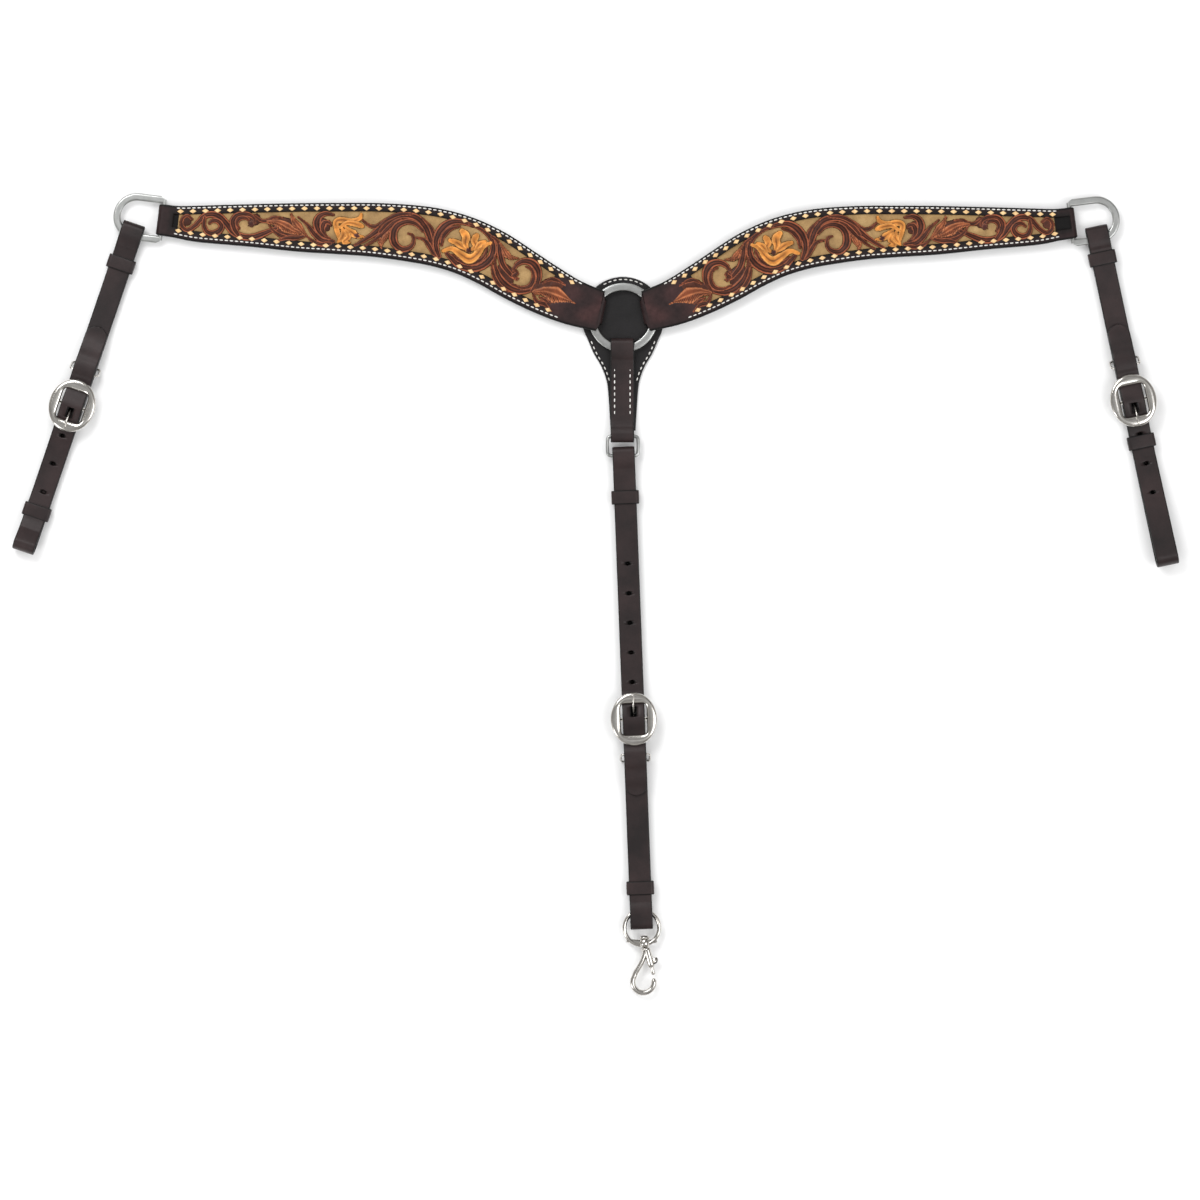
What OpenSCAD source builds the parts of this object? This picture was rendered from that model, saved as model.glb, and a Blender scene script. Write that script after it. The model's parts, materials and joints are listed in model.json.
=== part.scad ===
// Western breast collar, laid flat with its carved face up.
// Origin: back face of the ring safe, under the middle of the centre ring.
// +X to the right yoke, +Y to the top of the yokes, +Z out of the carved face. Millimetres.

/* [Leather] */
// Thickness of the adjustable straps
strap_t = 2.4; // [2:0.1:2.6]
// Width of the adjustable straps
strap_w = 19; // [17:0.5:20]
// Thickness of the yoke front leather
yoke_leather = 2; // [1.6:0.1:2.2]
// Thickness of the drop strap leather
drop_leather = 2.2; // [1.8:0.1:2.3]
// Width of the drop strap
drop_w = 20; // [18:0.5:21]
// Thickness of the ring safe
safe_t = 2.3; // [1.8:0.1:2.4]
// Radius of the ring safe round the ring
safe_r = 35; // [33:0.5:36]

/* [Centre ring] */
// Outside radius of the centre ring
ring_r = 29.5; // [29:0.25:31]
// Width of the flat bands of the ring and the dees
band_w = 6.4; // [5.5:0.1:6.6]
// Thickness of the flat bands
band_t = 3.3; // [2.8:0.1:3.4]

/* [Yokes] */
// Reach of the left yoke from the ring's middle to its outer fold
left_reach = 395.8; // [380:0.5:400]
// Reach of the right yoke
right_reach = 384.8; // [375:0.5:400]
// Rise of the left yoke's outer fold above the ring's middle
left_rise = 83.6; // [76:0.5:88]
// Rise of the right yoke's outer fold
right_rise = 81; // [76:0.5:88]
// Width of the plain border round the pierced window
border_w = 9.4; // [8.5:0.1:10]

/* [Dees] */
// Outside radius of a dee's curved side
dee_r = 20.2; // [19.8:0.1:20.6]
// Distance from the middle of the dee's curve to the middle of its bar
dee_depth = 21.6; // [21:0.1:23]
// Tilt of the dees and the yokes' outer folds
dee_tilt = 7; // [4:0.5:9]

/* [Tugs] */
// Angle of the left tug off straight down
left_tug_angle = 18.8; // [12:0.2:22]
// Angle of the right tug off straight down
right_tug_angle = 12; // [8:0.2:20]
// Length of a tug from fold to loop
tug_length = 295; // [290:1:300]
// Place of the left tug's buckle bar along the tug
left_buckle_at = 164; // [162:0.5:166]
// Place of the right tug's buckle bar along the tug
right_buckle_at = 151.8; // [150:0.5:153]

/* [Tie-down] */
// Angle of the tie-down strap off straight down
tie_angle = 2.2; // [1:0.1:3]
// Length of the tie-down strap from fold to fold
tie_length = 410.8; // [408:0.5:414]
// Place of the tie-down's buckle bar above its lower fold
tie_buckle_at = 179; // [178:0.5:181]

/* [Buckles] */
// Half width of a buckle frame across the strap
buckle_half_w = 19.8; // [19:0.1:20.4]
// Half length of a buckle frame along the strap
buckle_half_l = 22.8; // [22:0.1:23.4]
// Distance between punched holes
hole_pitch = 25.2; // [25:0.1:25.4]
// Radius of a punched hole
hole_r = 1.8; // [1.5:0.1:2]

/* [Snap] */
// Outside radius of the snap eye
eye_r = 16.6; // [16:0.1:17]
// Radius of the snap eye's wire
eye_wire_r = 1.8; // [1.6:0.05:1.85]

/* [Hidden] */
$fn = 48;

// Heights of the layers. Everything that a fold holds is centred on hardware_z.
hardware_z = 6.7;
fold_gap = 2;
gap = 0.2;
back_z = hardware_z - fold_gap - strap_t / 2;
front_z = back_z + strap_t + gap;
over_z = hardware_z + fold_gap + strap_t / 2;
doubled_z = front_z + strap_t + gap;
tail_z = doubled_z + strap_t + gap;
bar_r = 1.6;
wrap_r = bar_r + 0.15 + strap_t / 2;
bar_z = front_z + wrap_r;
rim_z = tail_z + strap_t / 2 + gap;
rim_t = 3.2;
wire_r = 0.9;
wire_top_z = doubled_z + strap_t / 2 + gap + wire_r;
fold_r = fold_gap + strap_t;
keeper_t = 2;
keeper_l = 11.5;
keeper_bottom_z = 1.8;
keeper_top_z = front_z + strap_t / 2 + 0.3;
keeper_half_w = strap_w / 2 + 0.4;

// Places of the moving joints.
left_dee_at = [-left_reach - (dee_depth - fold_gap - yoke_leather) * cos(dee_tilt),
    left_rise + (dee_depth - fold_gap - yoke_leather) * sin(dee_tilt)];
right_dee_at = [right_reach + (dee_depth - fold_gap - yoke_leather) * cos(dee_tilt),
    right_rise + (dee_depth - fold_gap - yoke_leather) * sin(dee_tilt)];
left_tug_start = 5.7;
right_tug_start = 5;
right_tug_offset = -1.5;
drop_ring_top_y = -100.8;
drop_ring_pitch = 16.6;
drop_ring_wire = 1.5;
drop_ring_half_w = 12.6;
drop_ring_x = -0.2;
tie_fold_at = [0.2, drop_ring_top_y - drop_ring_pitch + 7.9];
eye_at = tie_fold_at + (tie_length - 1.4) * [sin(tie_angle), -cos(tie_angle)];
first_hole = 28;
slot_at = 2;
slot_l = 8.8;
fold_slot_l = 9.6;
slot_w = 4.4;
return_end = 47;

// ---- Curves ----

// Point at fraction f of the smooth Catmull-Rom curve between p1 and p2
function smooth_between(p0, p1, p2, p3, f) = 0.5 * (2 * p1 + (p2 - p0) * f
    + (2 * p0 - 5 * p1 + 4 * p2 - p3) * f * f + (3 * p1 - p0 - 3 * p2 + p3) * f * f * f);

// Smooth curve through all points, with parts stretches between neighbours
function smooth_curve(p, parts) = [
    for (i = [0 : len(p) - 2], k = [0 : parts - 1])
        smooth_between(p[max(i - 1, 0)], p[i], p[i + 1], p[min(i + 2, len(p) - 1)], k / parts),
    p[len(p) - 1]];

function unit(v) = v / norm(v);

// Normal on the left of the curve at point i
function left_normal(p, i) = let (d = unit(p[min(i + 1, len(p) - 1)] - p[max(i - 1, 0)])) [-d[1], d[0]];

// Outline of a ribbon of thickness t along the points p
function ribbon(p, t) = concat(
    [for (i = [0 : len(p) - 1]) p[i] + left_normal(p, i) * t / 2],
    [for (i = [len(p) - 1 : -1 : 0]) p[i] - left_normal(p, i) * t / 2]);

// Points on an arc of radius r about c, from angle a to angle b
function arc(c, r, a, b, parts = 10) = [for (k = [0 : parts]) let (t = a + (b - a) * k / parts)
    c + r * [cos(t), sin(t)]];

// Stations of the yoke: distance out, height and half width, from the ring fold to the dee fold
yoke_stations = [[16, 4.5, 17], [43, 13, 19.5], [66, 24, 21.8], [89, 37, 23.6], [111.5, 50.5, 24.5],
    [134, 61, 24.7], [157, 67.8, 24.6], [180, 71.6, 24.1], [210, 74.5, 22.9], [240, 75.7, 21.8],
    [275, 76.7, 20.6], [317, 78.4, 18], [360, 79.7, 15.5], [380, 81.4, 13.6], [395.8, 83.6, 13.3]];
yoke_end = yoke_stations[len(yoke_stations) - 1];

// Yoke stations stretched to one side's reach and rise
function yoke_path(reach, rise) = smooth_curve([for (s = yoke_stations)
    [16 + (s[0] - 16) * (reach - 16) / (yoke_end[0] - 16), s[1] * rise / yoke_end[1], s[2]]], 3);

// Yoke edge at distance inset from the true edge, side 1 for the top and -1 for the bottom
function yoke_edge(p, side, inset) = [for (i = [0 : len(p) - 1])
    let (q = [for (s = p) [s[0], s[1]]]) q[i] + side * (p[i][2] - inset) * left_normal(q, i)];

module yoke_outline(p, inset, first, last) {
    top = yoke_edge(p, 1, inset);
    bottom = yoke_edge(p, -1, inset);
    polygon(concat([for (i = [first : last]) top[i]], [for (i = [last : -1 : first]) bottom[i]]));
}

// ---- Straps ----

// Side view of a plain fold round something of radius fold_gap, opening towards +u
function fold_path(start, t) = arc([start + fold_gap + t, hardware_z], fold_gap + t / 2, 90, 270, 12);

// Side view of one long strap: buckle fold, front layer, hardware fold, back run, far loop, front run.
// u runs from the hardware fold to the far end; the bar is at buckle_at.
function strap_path(buckle_at, flat_to, slope_to, far_end, climb) = concat(
    [[buckle_at - return_end, front_z], [buckle_at - 6, front_z]],
    arc([buckle_at, bar_z], wrap_r, -90, 90, 10),
    [[buckle_at - 9, doubled_z], [buckle_at - return_end - 4, doubled_z],
     [buckle_at - return_end - 12, front_z], [slope_to, front_z], [flat_to, over_z]],
    fold_path(0, strap_t),
    far_end,
    [[buckle_at + climb, front_z], [buckle_at + 13, tail_z], [buckle_at + 3, bar_z + 5.5],
     [buckle_at - 3, bar_z + 5.5], [buckle_at - 13, tail_z], [buckle_at - 25, tail_z]]);

// Side view of the tail, from the far rim over the wire keeper to the tip
function tail_path(buckle_at, tip_at) = [[buckle_at - 24, tail_z], [buckle_at - 28, wire_top_z + 2.4],
    [buckle_at - 38, wire_top_z + 2.4], [buckle_at - 43, tail_z], [buckle_at - return_end - 4, tail_z],
    [buckle_at - return_end - 12, doubled_z], [tip_at, doubled_z]];

// Extrudes a side view across the strap's width
module across(width) {
    rotate([90, 0, 0])
        translate([0, 0, -width / 2])
            linear_extrude(width)
                children();
}

module long_strap(path, buckle_at, tip_at, holes, first_at) {
    fold_slot_low = front_z - strap_t / 2 - gap / 2;
    fold_slot_high = bar_z + wrap_r + strap_t / 2 + gap / 2;
    difference() {
        across(strap_w)
            polygon(ribbon(path, strap_t));
        // slot in the fold for the tongue, and the punched slot it comes up through
        translate([buckle_at - 5, -slot_w / 2, fold_slot_low])
            cube([fold_slot_l, slot_w, fold_slot_high - fold_slot_low]);
        translate([buckle_at + slot_at, -slot_w / 2, bar_z + 1])
            cube([slot_l, slot_w, 10]);
        for (i = [0 : holes - 1])
            translate([buckle_at + first_at + i * hole_pitch, 0, fold_slot_low])
                cylinder(r = hole_r, h = 30);
    }
    intersection() {
        across(strap_w)
            polygon(ribbon(tail_path(buckle_at, tip_at), strap_t));
        linear_extrude(40)
            union() {
                translate([tip_at + strap_w / 2, 0])
                    circle(r = strap_w / 2);
                translate([tip_at + strap_w / 2, -strap_w / 2])
                    square([100, strap_w]);
            }
    }
}

// Oval outline of the buckle frame, inset all round
module buckle_oval(inset) {
    polygon([for (a = [0 : 7.5 : 352.5])
        [(buckle_half_l - inset) * cos(a), (buckle_half_w - inset) * sin(a)]]);
}

// Frame with a raised inner rim, on two lugs that hold the bar under the strap
module buckle_frame(buckle_at) {
    opening_l = 26.6;
    opening_w = 22.4;
    translate([buckle_at, 0, 0]) {
        difference() {
            union() {
                translate([0, 0, rim_z])
                    linear_extrude(rim_t - 1)
                        buckle_oval(0);
                translate([0, 0, rim_z + rim_t - 1])
                    linear_extrude(1)
                        buckle_oval(1.6);
            }
            translate([-opening_l / 2, -opening_w / 2, rim_z - 1])
                cube([opening_l, opening_w, rim_t + 2]);
        }
        for (side = [-1, 1])
            translate([-2.5, side * 13 - 1.6, bar_z - 2.2])
                cube([5, 3.2, rim_z - bar_z + 2.4]);
        translate([0, 0, bar_z])
            rotate([90, 0, 0])
                cylinder(r = bar_r, h = 26, center = true);
    }
}

// Tongue: an eye round the bar and an arm up through the strap to the near rim
module buckle_tongue(buckle_at) {
    translate([buckle_at, 0, 0])
        difference() {
            union() {
                translate([0, 0, bar_z])
                    rotate([90, 0, 0])
                        cylinder(r = 2.9, h = 2.6, center = true);
                across(2.4)
                    polygon(ribbon(smooth_curve([[1.5, bar_z + 1.2], [5, bar_z + 3.6], [10, rim_z + rim_t],
                        [14.5, rim_z + rim_t + 1.4], [19.5, rim_z + rim_t + 1.3]], 3), 1.8));
            }
            translate([0, 0, bar_z])
                rotate([90, 0, 0])
                    cylinder(r = bar_r + 0.08, h = 10, center = true);
        }
}

// Wire keeper: a tilted rectangular loop of wire round the doubled strap and the back run
module wire_keeper(at) {
    half_w = 12.4;
    low_z = wire_r + 0.2;
    half_tilt = 3;
    for (end = [-1, 1])
        translate([at + end * half_tilt, 0, end > 0 ? wire_top_z : low_z])
            rotate([90, 0, 0])
                cylinder(r = wire_r, h = 2 * half_w, center = true);
    rise = wire_top_z - low_z;
    for (side = [-1, 1]) {
        translate([at - half_tilt, side * half_w, low_z])
            rotate([0, atan2(2 * half_tilt, rise), 0])
                cylinder(r = wire_r, h = norm([2 * half_tilt, rise]));
        for (end = [-1, 1])
            translate([at + end * half_tilt, side * half_w, end > 0 ? wire_top_z : low_z])
                sphere(r = wire_r + 0.05);
    }
}

// Leather keeper: a flat band with rounded corners round the two runs
module leather_keeper(at) {
    translate([at - keeper_l / 2, 0, 0])
        rotate([90, 0, 90])
            linear_extrude(keeper_l)
                difference() {
                    union() {
                        translate([-keeper_half_w - keeper_t + 2, 0])
                            square([2 * (keeper_half_w + keeper_t) - 4, keeper_top_z + keeper_t]);
                        translate([-keeper_half_w - keeper_t, 2])
                            square([2 * (keeper_half_w + keeper_t), keeper_top_z + keeper_t - 4]);
                        for (side = [-1, 1], z = [2, keeper_top_z + keeper_t - 2])
                            translate([side * (keeper_half_w + keeper_t - 2), z])
                                circle(r = 2, $fn = 32);
                    }
                    translate([-keeper_half_w, keeper_bottom_z])
                        square([2 * keeper_half_w, keeper_top_z - keeper_bottom_z]);
                }
}

// ---- Frames of the three straps: u away from the hardware fold ----

module left_tug_frame() {
    translate([left_dee_at[0], left_dee_at[1], 0])
        rotate(-90 - left_tug_angle)
            translate([left_tug_start, 0, 0])
                children();
}

module right_tug_frame() {
    translate([right_dee_at[0], right_dee_at[1], 0])
        rotate(-90 + right_tug_angle)
            translate([right_tug_start, right_tug_offset, 0])
                children();
}

// The tie-down is measured upwards from its lower fold, which holds the snap eye
module tie_down_frame() {
    translate([tie_fold_at[0], tie_fold_at[1], 0])
        rotate(-90 + tie_angle)
            translate([tie_length, 0, 0])
                rotate(180)
                    children();
}

// Far end of a tug: an open loop of radius r at the end of the tug, closing again by close_at
function tug_loop(length, r, close_at) = concat(
    [[length - 3 * r, back_z]],
    arc([length - r - strap_t / 2, back_z + r], r, -90, 90, 12),
    [[close_at, front_z]]);

// Far end of the tie-down: a long fold round the drop ring's lower bar
function tie_far_fold(length) = concat(
    arc([length - fold_r, hardware_z], fold_gap + strap_t / 2, -90, 90, 12),
    [[length - 13, over_z], [length - 22, front_z]]);

left_path = strap_path(left_buckle_at, 15.4, 26, tug_loop(tug_length, 7, 268), 32);
right_path = strap_path(right_buckle_at, 16, 21.5, tug_loop(tug_length, 7.5, 198), 27);
tie_path = strap_path(tie_buckle_at, 17, 26, tie_far_fold(tie_length), 30);

// ---- Centre pieces ----

module ring_safe() {
    side = smooth_curve([[-30.4, -17.5], [-25, -30], [-18.6, -41], [-14.4, -52], [-12.6, -64], [-10.6, -96]], 4);
    color([0.13, 0.1, 0.1])
        linear_extrude(safe_t)
            union() {
                circle(r = safe_r, $fn = 96);
                polygon(concat([[0, 0]], side, [for (i = [len(side) - 1 : -1 : 0]) [-side[i][0], side[i][1]]]));
            }
}

// One stitch along +X
module stitch(length, width, height) {
    translate([-length / 2, -width / 2, 0])
        cube([length, width, height]);
}

module safe_stitching() {
    color("white")
        translate([0, 0, safe_t]) {
            for (a = [62 : 8.2 : 120])
                rotate(a)
                    translate([safe_r - 2.3, 0, 0])
                        rotate(90)
                            stitch(3, 0.8, 0.2);
            for (side = [-1, 1], i = [0 : 7])
                translate([side * (28.2 - 1.62 * i), -26 - 3.7 * i, 0])
                    rotate(side * 65)
                        stitch(3, 0.8, 0.2);
        }
}

// Side view of the drop strap: back layer, ring fold, front layer, small ring fold
module drop_strap() {
    top_y = -17.4;
    bottom_y = drop_ring_top_y - 5.3;
    mid = fold_gap + drop_leather / 2;
    flat_z = hardware_z - fold_gap + gap + drop_leather / 2;
    path = concat(
        [[bottom_y + 20, hardware_z - mid]],
        arc([top_y - fold_gap - drop_leather, hardware_z], mid, -90, 90, 12),
        [[-31, hardware_z + mid], [-38, flat_z], [bottom_y + 16, flat_z], [bottom_y + 9, hardware_z + mid]],
        arc([bottom_y + fold_gap + drop_leather, hardware_z], mid, 90, 270, 12),
        [[bottom_y + 19.5, hardware_z - mid]]);
    color([0.16, 0.12, 0.11])
        rotate([90, 0, 90])
            translate([0, 0, -drop_w / 2 - 0.6])
                linear_extrude(drop_w)
                    polygon(ribbon(path, drop_leather));
}

module drop_stitching() {
    flat_top = hardware_z - fold_gap + gap + drop_leather;
    color("white")
        for (side = [-1, 1], i = [0 : 9])
            translate([side * 6.8 - 0.6, -42 - 5 * i, flat_top])
                rotate(90)
                    stitch(3.2, 0.9, 0.3);
}

// Flat band with round edges, swept round a full circle or an arc
module flat_band(r_out, angle) {
    rotate_extrude(angle = angle, $fn = 96)
        union() {
            translate([r_out - band_w + band_t / 2, -band_t / 2])
                square([band_w - band_t, band_t]);
            for (x = [r_out - band_w + band_t / 2, r_out - band_t / 2])
                translate([x, 0])
                    circle(r = band_t / 2, $fn = 24);
        }
}

module centre_ring() {
    color([0.74, 0.74, 0.73])
        translate([0, 0, hardware_z])
            flat_band(ring_r, 360);
}

// Loop of wire with swollen welded corners; its two long bars are the hinge pins of the straps
module drop_ring() {
    corner_r = drop_ring_wire + 0.4;
    x = drop_ring_half_w;
    y = drop_ring_pitch / 2;
    color([0.78, 0.78, 0.77])
        translate([drop_ring_x, drop_ring_top_y - y, hardware_z]) {
            for (side = [-1, 1]) {
                rod([-x, side * y], [x, side * y], drop_ring_wire);
                rod([side * x, -y], [side * x, y], drop_ring_wire);
            }
            for (side = [-1, 1], end = [-1, 1])
                translate([side * x, end * y, 0])
                    rotate(90 - 90 * side + 45 * side * end)
                        sphere(r = corner_r, $fn = 24);
        }
}

// ---- Yokes, drawn as the right yoke in mirrored coordinates ----

// Leather at the folds, pared a little thinner
skived_leather = yoke_leather - 0.2;

// Turned end of the front leather round the centre ring, cut narrow to clear the ring's curve
module ring_fold(p) {
    end_tilt = 12;
    turned_w = 23.2;
    mid = fold_gap + yoke_leather / 2;
    translate([p[0][0], p[0][1], 0])
        rotate(end_tilt)
            across(turned_w)
                polygon(ribbon(concat([[20, hardware_z + mid]],
                    arc([fold_gap + yoke_leather, hardware_z], mid, 90, 270, 12),
                    [[31, hardware_z - mid]]), skived_leather));
}

// Fold of the front leather round the dee's bar
module dee_fold(p) {
    mid = fold_gap + yoke_leather / 2;
    last = p[len(p) - 1];
    translate([last[0], last[1], 0])
        rotate(dee_tilt)
            across(2 * last[2])
                polygon(ribbon(concat([[-24, hardware_z - mid]],
                    arc([-fold_gap - yoke_leather, hardware_z], mid, -90, 90, 12),
                    [[-25, hardware_z + mid]]), skived_leather));
}

// Index of the first and last stations of the plain ends
first_flat = 3;
last_flat = 40;

module yoke_backing(p) {
    translate([0, 0, hardware_z - fold_gap - yoke_leather])
        linear_extrude(4.4)
            yoke_outline(p, 0, first_flat + 1, last_flat - 3);
}

module yoke_inlay(p) {
    translate([0, 0, hardware_z - fold_gap - yoke_leather + 4.4])
        linear_extrude(2 * fold_gap + yoke_leather - 4.4)
            yoke_outline(p, 4, first_flat + 3, last_flat - 4);
}

// Running vine of the carving: a ribbon that weaves from edge to edge, with a scroll in each bay
module vine(p, bays) {
    q = [for (s = p) [s[0], s[1]]];
    wave = [for (i = [8 : 36]) q[i] + left_normal(q, i) * (p[i][2] - border_w - 3) * sin((i - 8) * 180 * bays / 28)];
    polygon(ribbon(wave, 4.4));
    for (b = [0 : bays - 1]) {
        i = round(8 + (b + 0.5) * 28 / bays);
        offset_to = (b % 2 == 0 ? -1 : 1) * (p[i][2] - border_w - 7);
        translate(q[i] + left_normal(q, i) * offset_to)
            difference() {
                circle(r = 7.6, $fn = 32);
                circle(r = 3.6, $fn = 24);
            }
    }
}

module yoke_front(p) {
    front_low = hardware_z + fold_gap;
    translate([0, 0, front_low])
        linear_extrude(yoke_leather)
            union() {
                difference() {
                    yoke_outline(p, 0, 1, last_flat);
                    yoke_outline(p, border_w, 8, 36);
                }
                intersection() {
                    yoke_outline(p, border_w - 0.5, 7, 37);
                    vine(p, 7);
                }
            }
    ring_fold(p);
    dee_fold(p);
}

// Rows of stitches at a distance inside each edge
module edge_stitching(p) {
    q = [for (s = p) [s[0], s[1]]];
    translate([0, 0, hardware_z + fold_gap + yoke_leather])
        for (side = [-1, 1], i = [5 : 38], k = [0, 1]) {
            edge = yoke_edge(p, side, 3.4);
            a = edge[i];
            b = edge[i + 1];
            translate(a + (b - a) * (k + 0.5) / 2)
                rotate(atan2(b[1] - a[1], b[0] - a[0]))
                    stitch(norm(b - a) / 2 * 0.7, 0.9, 0.3);
        }
}

// Rows of flat lacing diamonds just inside the stitches
module buckstitch(p) {
    translate([0, 0, hardware_z + fold_gap + yoke_leather])
        linear_extrude(0.8)
            for (side = [-1, 1], i = [6 : 36]) {
                edge = yoke_edge(p, side, 7.4);
                d = edge[i + 1] - edge[i];
                translate(edge[i])
                    rotate(atan2(d[1], d[0]))
                        polygon([[-3, 0], [0, -1.7], [3, 0], [0, 1.7]]);
            }
}

// Flat dee: half-round curve, two arms and a round bar, about the middle of the curve
module dee() {
    arm_mid = dee_r - band_w / 2;
    rotate(-90)
        flat_band(dee_r, 180);
    for (side = [-1, 1]) {
        difference() {
            translate([-dee_depth, side * arm_mid, 0])
                rotate([0, 90, 0])
                    linear_extrude(dee_depth)
                        union() {
                            square([band_t, band_w - band_t], center = true);
                            for (y = [-1, 1])
                                translate([0, y * (band_w - band_t) / 2])
                                    circle(r = band_t / 2, $fn = 24);
                        }
            // bevel on the arm's outer corner
            translate([-dee_depth - 1, side * (dee_r + 1.5), 0])
                rotate(side * 30)
                    cube([14, 7, 10], center = true);
        }
    }
    translate([-dee_depth, 0, 0])
        rotate([90, 0, 0])
            cylinder(r = fold_gap - 0.1, h = 2 * arm_mid + 1, center = true);
}

left_yoke_path = yoke_path(left_reach, left_rise);
right_yoke_path = yoke_path(right_reach, right_rise);

dark_leather = [0.2, 0.14, 0.13];
steel = [0.75, 0.75, 0.74];

module left_side() {
    mirror([1, 0, 0])
        children();
}

module left_yoke_backing() { color(dark_leather) left_side() yoke_backing(left_yoke_path); }
module left_yoke_inlay() { color([0.68, 0.52, 0.28]) left_side() yoke_inlay(left_yoke_path); }
module left_yoke_front() { color([0.38, 0.2, 0.14]) left_side() yoke_front(left_yoke_path); }
module left_edge_stitching() { color("white") left_side() edge_stitching(left_yoke_path); }
module left_buckstitch() { color([0.93, 0.78, 0.55]) left_side() buckstitch(left_yoke_path); }

module right_yoke_backing() { color(dark_leather) yoke_backing(right_yoke_path); }
module right_yoke_inlay() { color([0.68, 0.52, 0.28]) yoke_inlay(right_yoke_path); }
module right_yoke_front() { color([0.38, 0.2, 0.14]) yoke_front(right_yoke_path); }
module right_edge_stitching() { color("white") edge_stitching(right_yoke_path); }
module right_buckstitch() { color([0.93, 0.78, 0.55]) buckstitch(right_yoke_path); }

module left_dee() {
    color(steel)
        translate([left_dee_at[0], left_dee_at[1], hardware_z])
            left_side()
                rotate(dee_tilt)
                    dee();
}

module right_dee() {
    color(steel)
        translate([right_dee_at[0], right_dee_at[1], hardware_z])
            rotate(dee_tilt)
                dee();
}

// ---- Left tug ----

module left_tug_strap() {
    color(dark_leather)
        left_tug_frame()
            long_strap(left_path, left_buckle_at, left_buckle_at - 71, 3, first_hole - 1.3);
}
module left_buckle_frame() { color(steel) left_tug_frame() buckle_frame(left_buckle_at); }
module left_buckle_tongue() { color(steel) left_tug_frame() buckle_tongue(left_buckle_at); }
module left_wire_keeper() { color(steel) left_tug_frame() wire_keeper(left_buckle_at - 33); }
module left_upper_keeper() { color(dark_leather) left_tug_frame() leather_keeper(36.6); }
module left_lower_keeper() { color(dark_leather) left_tug_frame() leather_keeper(259); }

// ---- Right tug ----

module right_tug_strap() {
    color(dark_leather)
        right_tug_frame()
            long_strap(right_path, right_buckle_at, right_buckle_at - 66.4, 3, first_hole + 1.2);
}
module right_buckle_frame() { color(steel) right_tug_frame() buckle_frame(right_buckle_at); }
module right_buckle_tongue() { color(steel) right_tug_frame() buckle_tongue(right_buckle_at); }
module right_wire_keeper() { color(steel) right_tug_frame() wire_keeper(right_buckle_at - 33); }
module right_upper_keeper() { color(dark_leather) right_tug_frame() leather_keeper(28); }
module right_lower_keeper() { color(dark_leather) right_tug_frame() leather_keeper(187.4); }

// ---- Tie-down ----

module tie_down_strap() {
    color(dark_leather)
        tie_down_frame()
            long_strap(tie_path, tie_buckle_at, tie_buckle_at - 65.3, 5, first_hole + 3.4);
}
module tie_buckle_frame() { color(steel) tie_down_frame() buckle_frame(tie_buckle_at); }
module tie_buckle_tongue() { color(steel) tie_down_frame() buckle_tongue(tie_buckle_at); }
module tie_wire_keeper() { color(steel) tie_down_frame() wire_keeper(tie_buckle_at - 33); }
module tie_upper_keeper() { color(dark_leather) tie_down_frame() leather_keeper(367.6); }
module tie_lower_keeper() { color(dark_leather) tie_down_frame() leather_keeper(35.1); }

// ---- Snap: local -Y runs down from the middle of the eye to the hook ----

stud_x = 2.4;
stud_r = 2.2;
plate_y = -8.6;
hook_at = [1.3, -46.3];
hook_r = 9.1;
hook_wire = 2.3;
tip_angle = 21;
barrel_top = [4.2, -17.6];
barrel_tilt = 14.8;
barrel_r = 3.1;
bore_r = 1.9;
barrel_l = 16.4;

module snap_frame() {
    translate([eye_at[0], eye_at[1], hardware_z])
        children();
}

// Cylinder from a to b in the snap's plane
module rod(a, b, r) {
    d = b - a;
    translate([a[0], a[1], 0])
        rotate([0, 90, atan2(d[1], d[0])])
            cylinder(r = r, h = norm(d));
}

// Barrel coordinates: +Z down the barrel from its top
module barrel_frame() {
    translate([barrel_top[0], barrel_top[1], 0])
        rotate([90, 0, barrel_tilt])
            children();
}

module snap_eye() {
    color([0.85, 0.85, 0.86])
        snap_frame()
            difference() {
                union() {
                    rotate_extrude($fn = 96)
                        translate([eye_r - eye_wire_r, 0])
                            circle(r = eye_wire_r, $fn = 24);
                    translate([-13, plate_y - 4.6, -1.5])
                        cube([26, 3.4, 3]);
                    translate([stud_x, plate_y - 1.2, 0])
                        rotate([90, 0, 0])
                            cylinder(r = 4.4, h = 6.4);
                }
                translate([stud_x, 0, 0])
                    rotate([90, 0, 0])
                        cylinder(r = stud_r + 0.08, h = 30);
            }
}

module snap_swivel_stud() {
    color([0.85, 0.85, 0.86])
        snap_frame()
            translate([stud_x, 0, 0])
                rotate([90, 0, 0]) {
                    translate([0, 0, -plate_y - 1.8])
                        cylinder(r1 = 3, r2 = 4.2, h = 1.2);
                    translate([0, 0, -plate_y - 0.6])
                        cylinder(r = 4.2, h = 1.6);
                    translate([0, 0, -plate_y])
                        cylinder(r = stud_r, h = -barrel_top[1] + plate_y - 0.3);
                }
}

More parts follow.
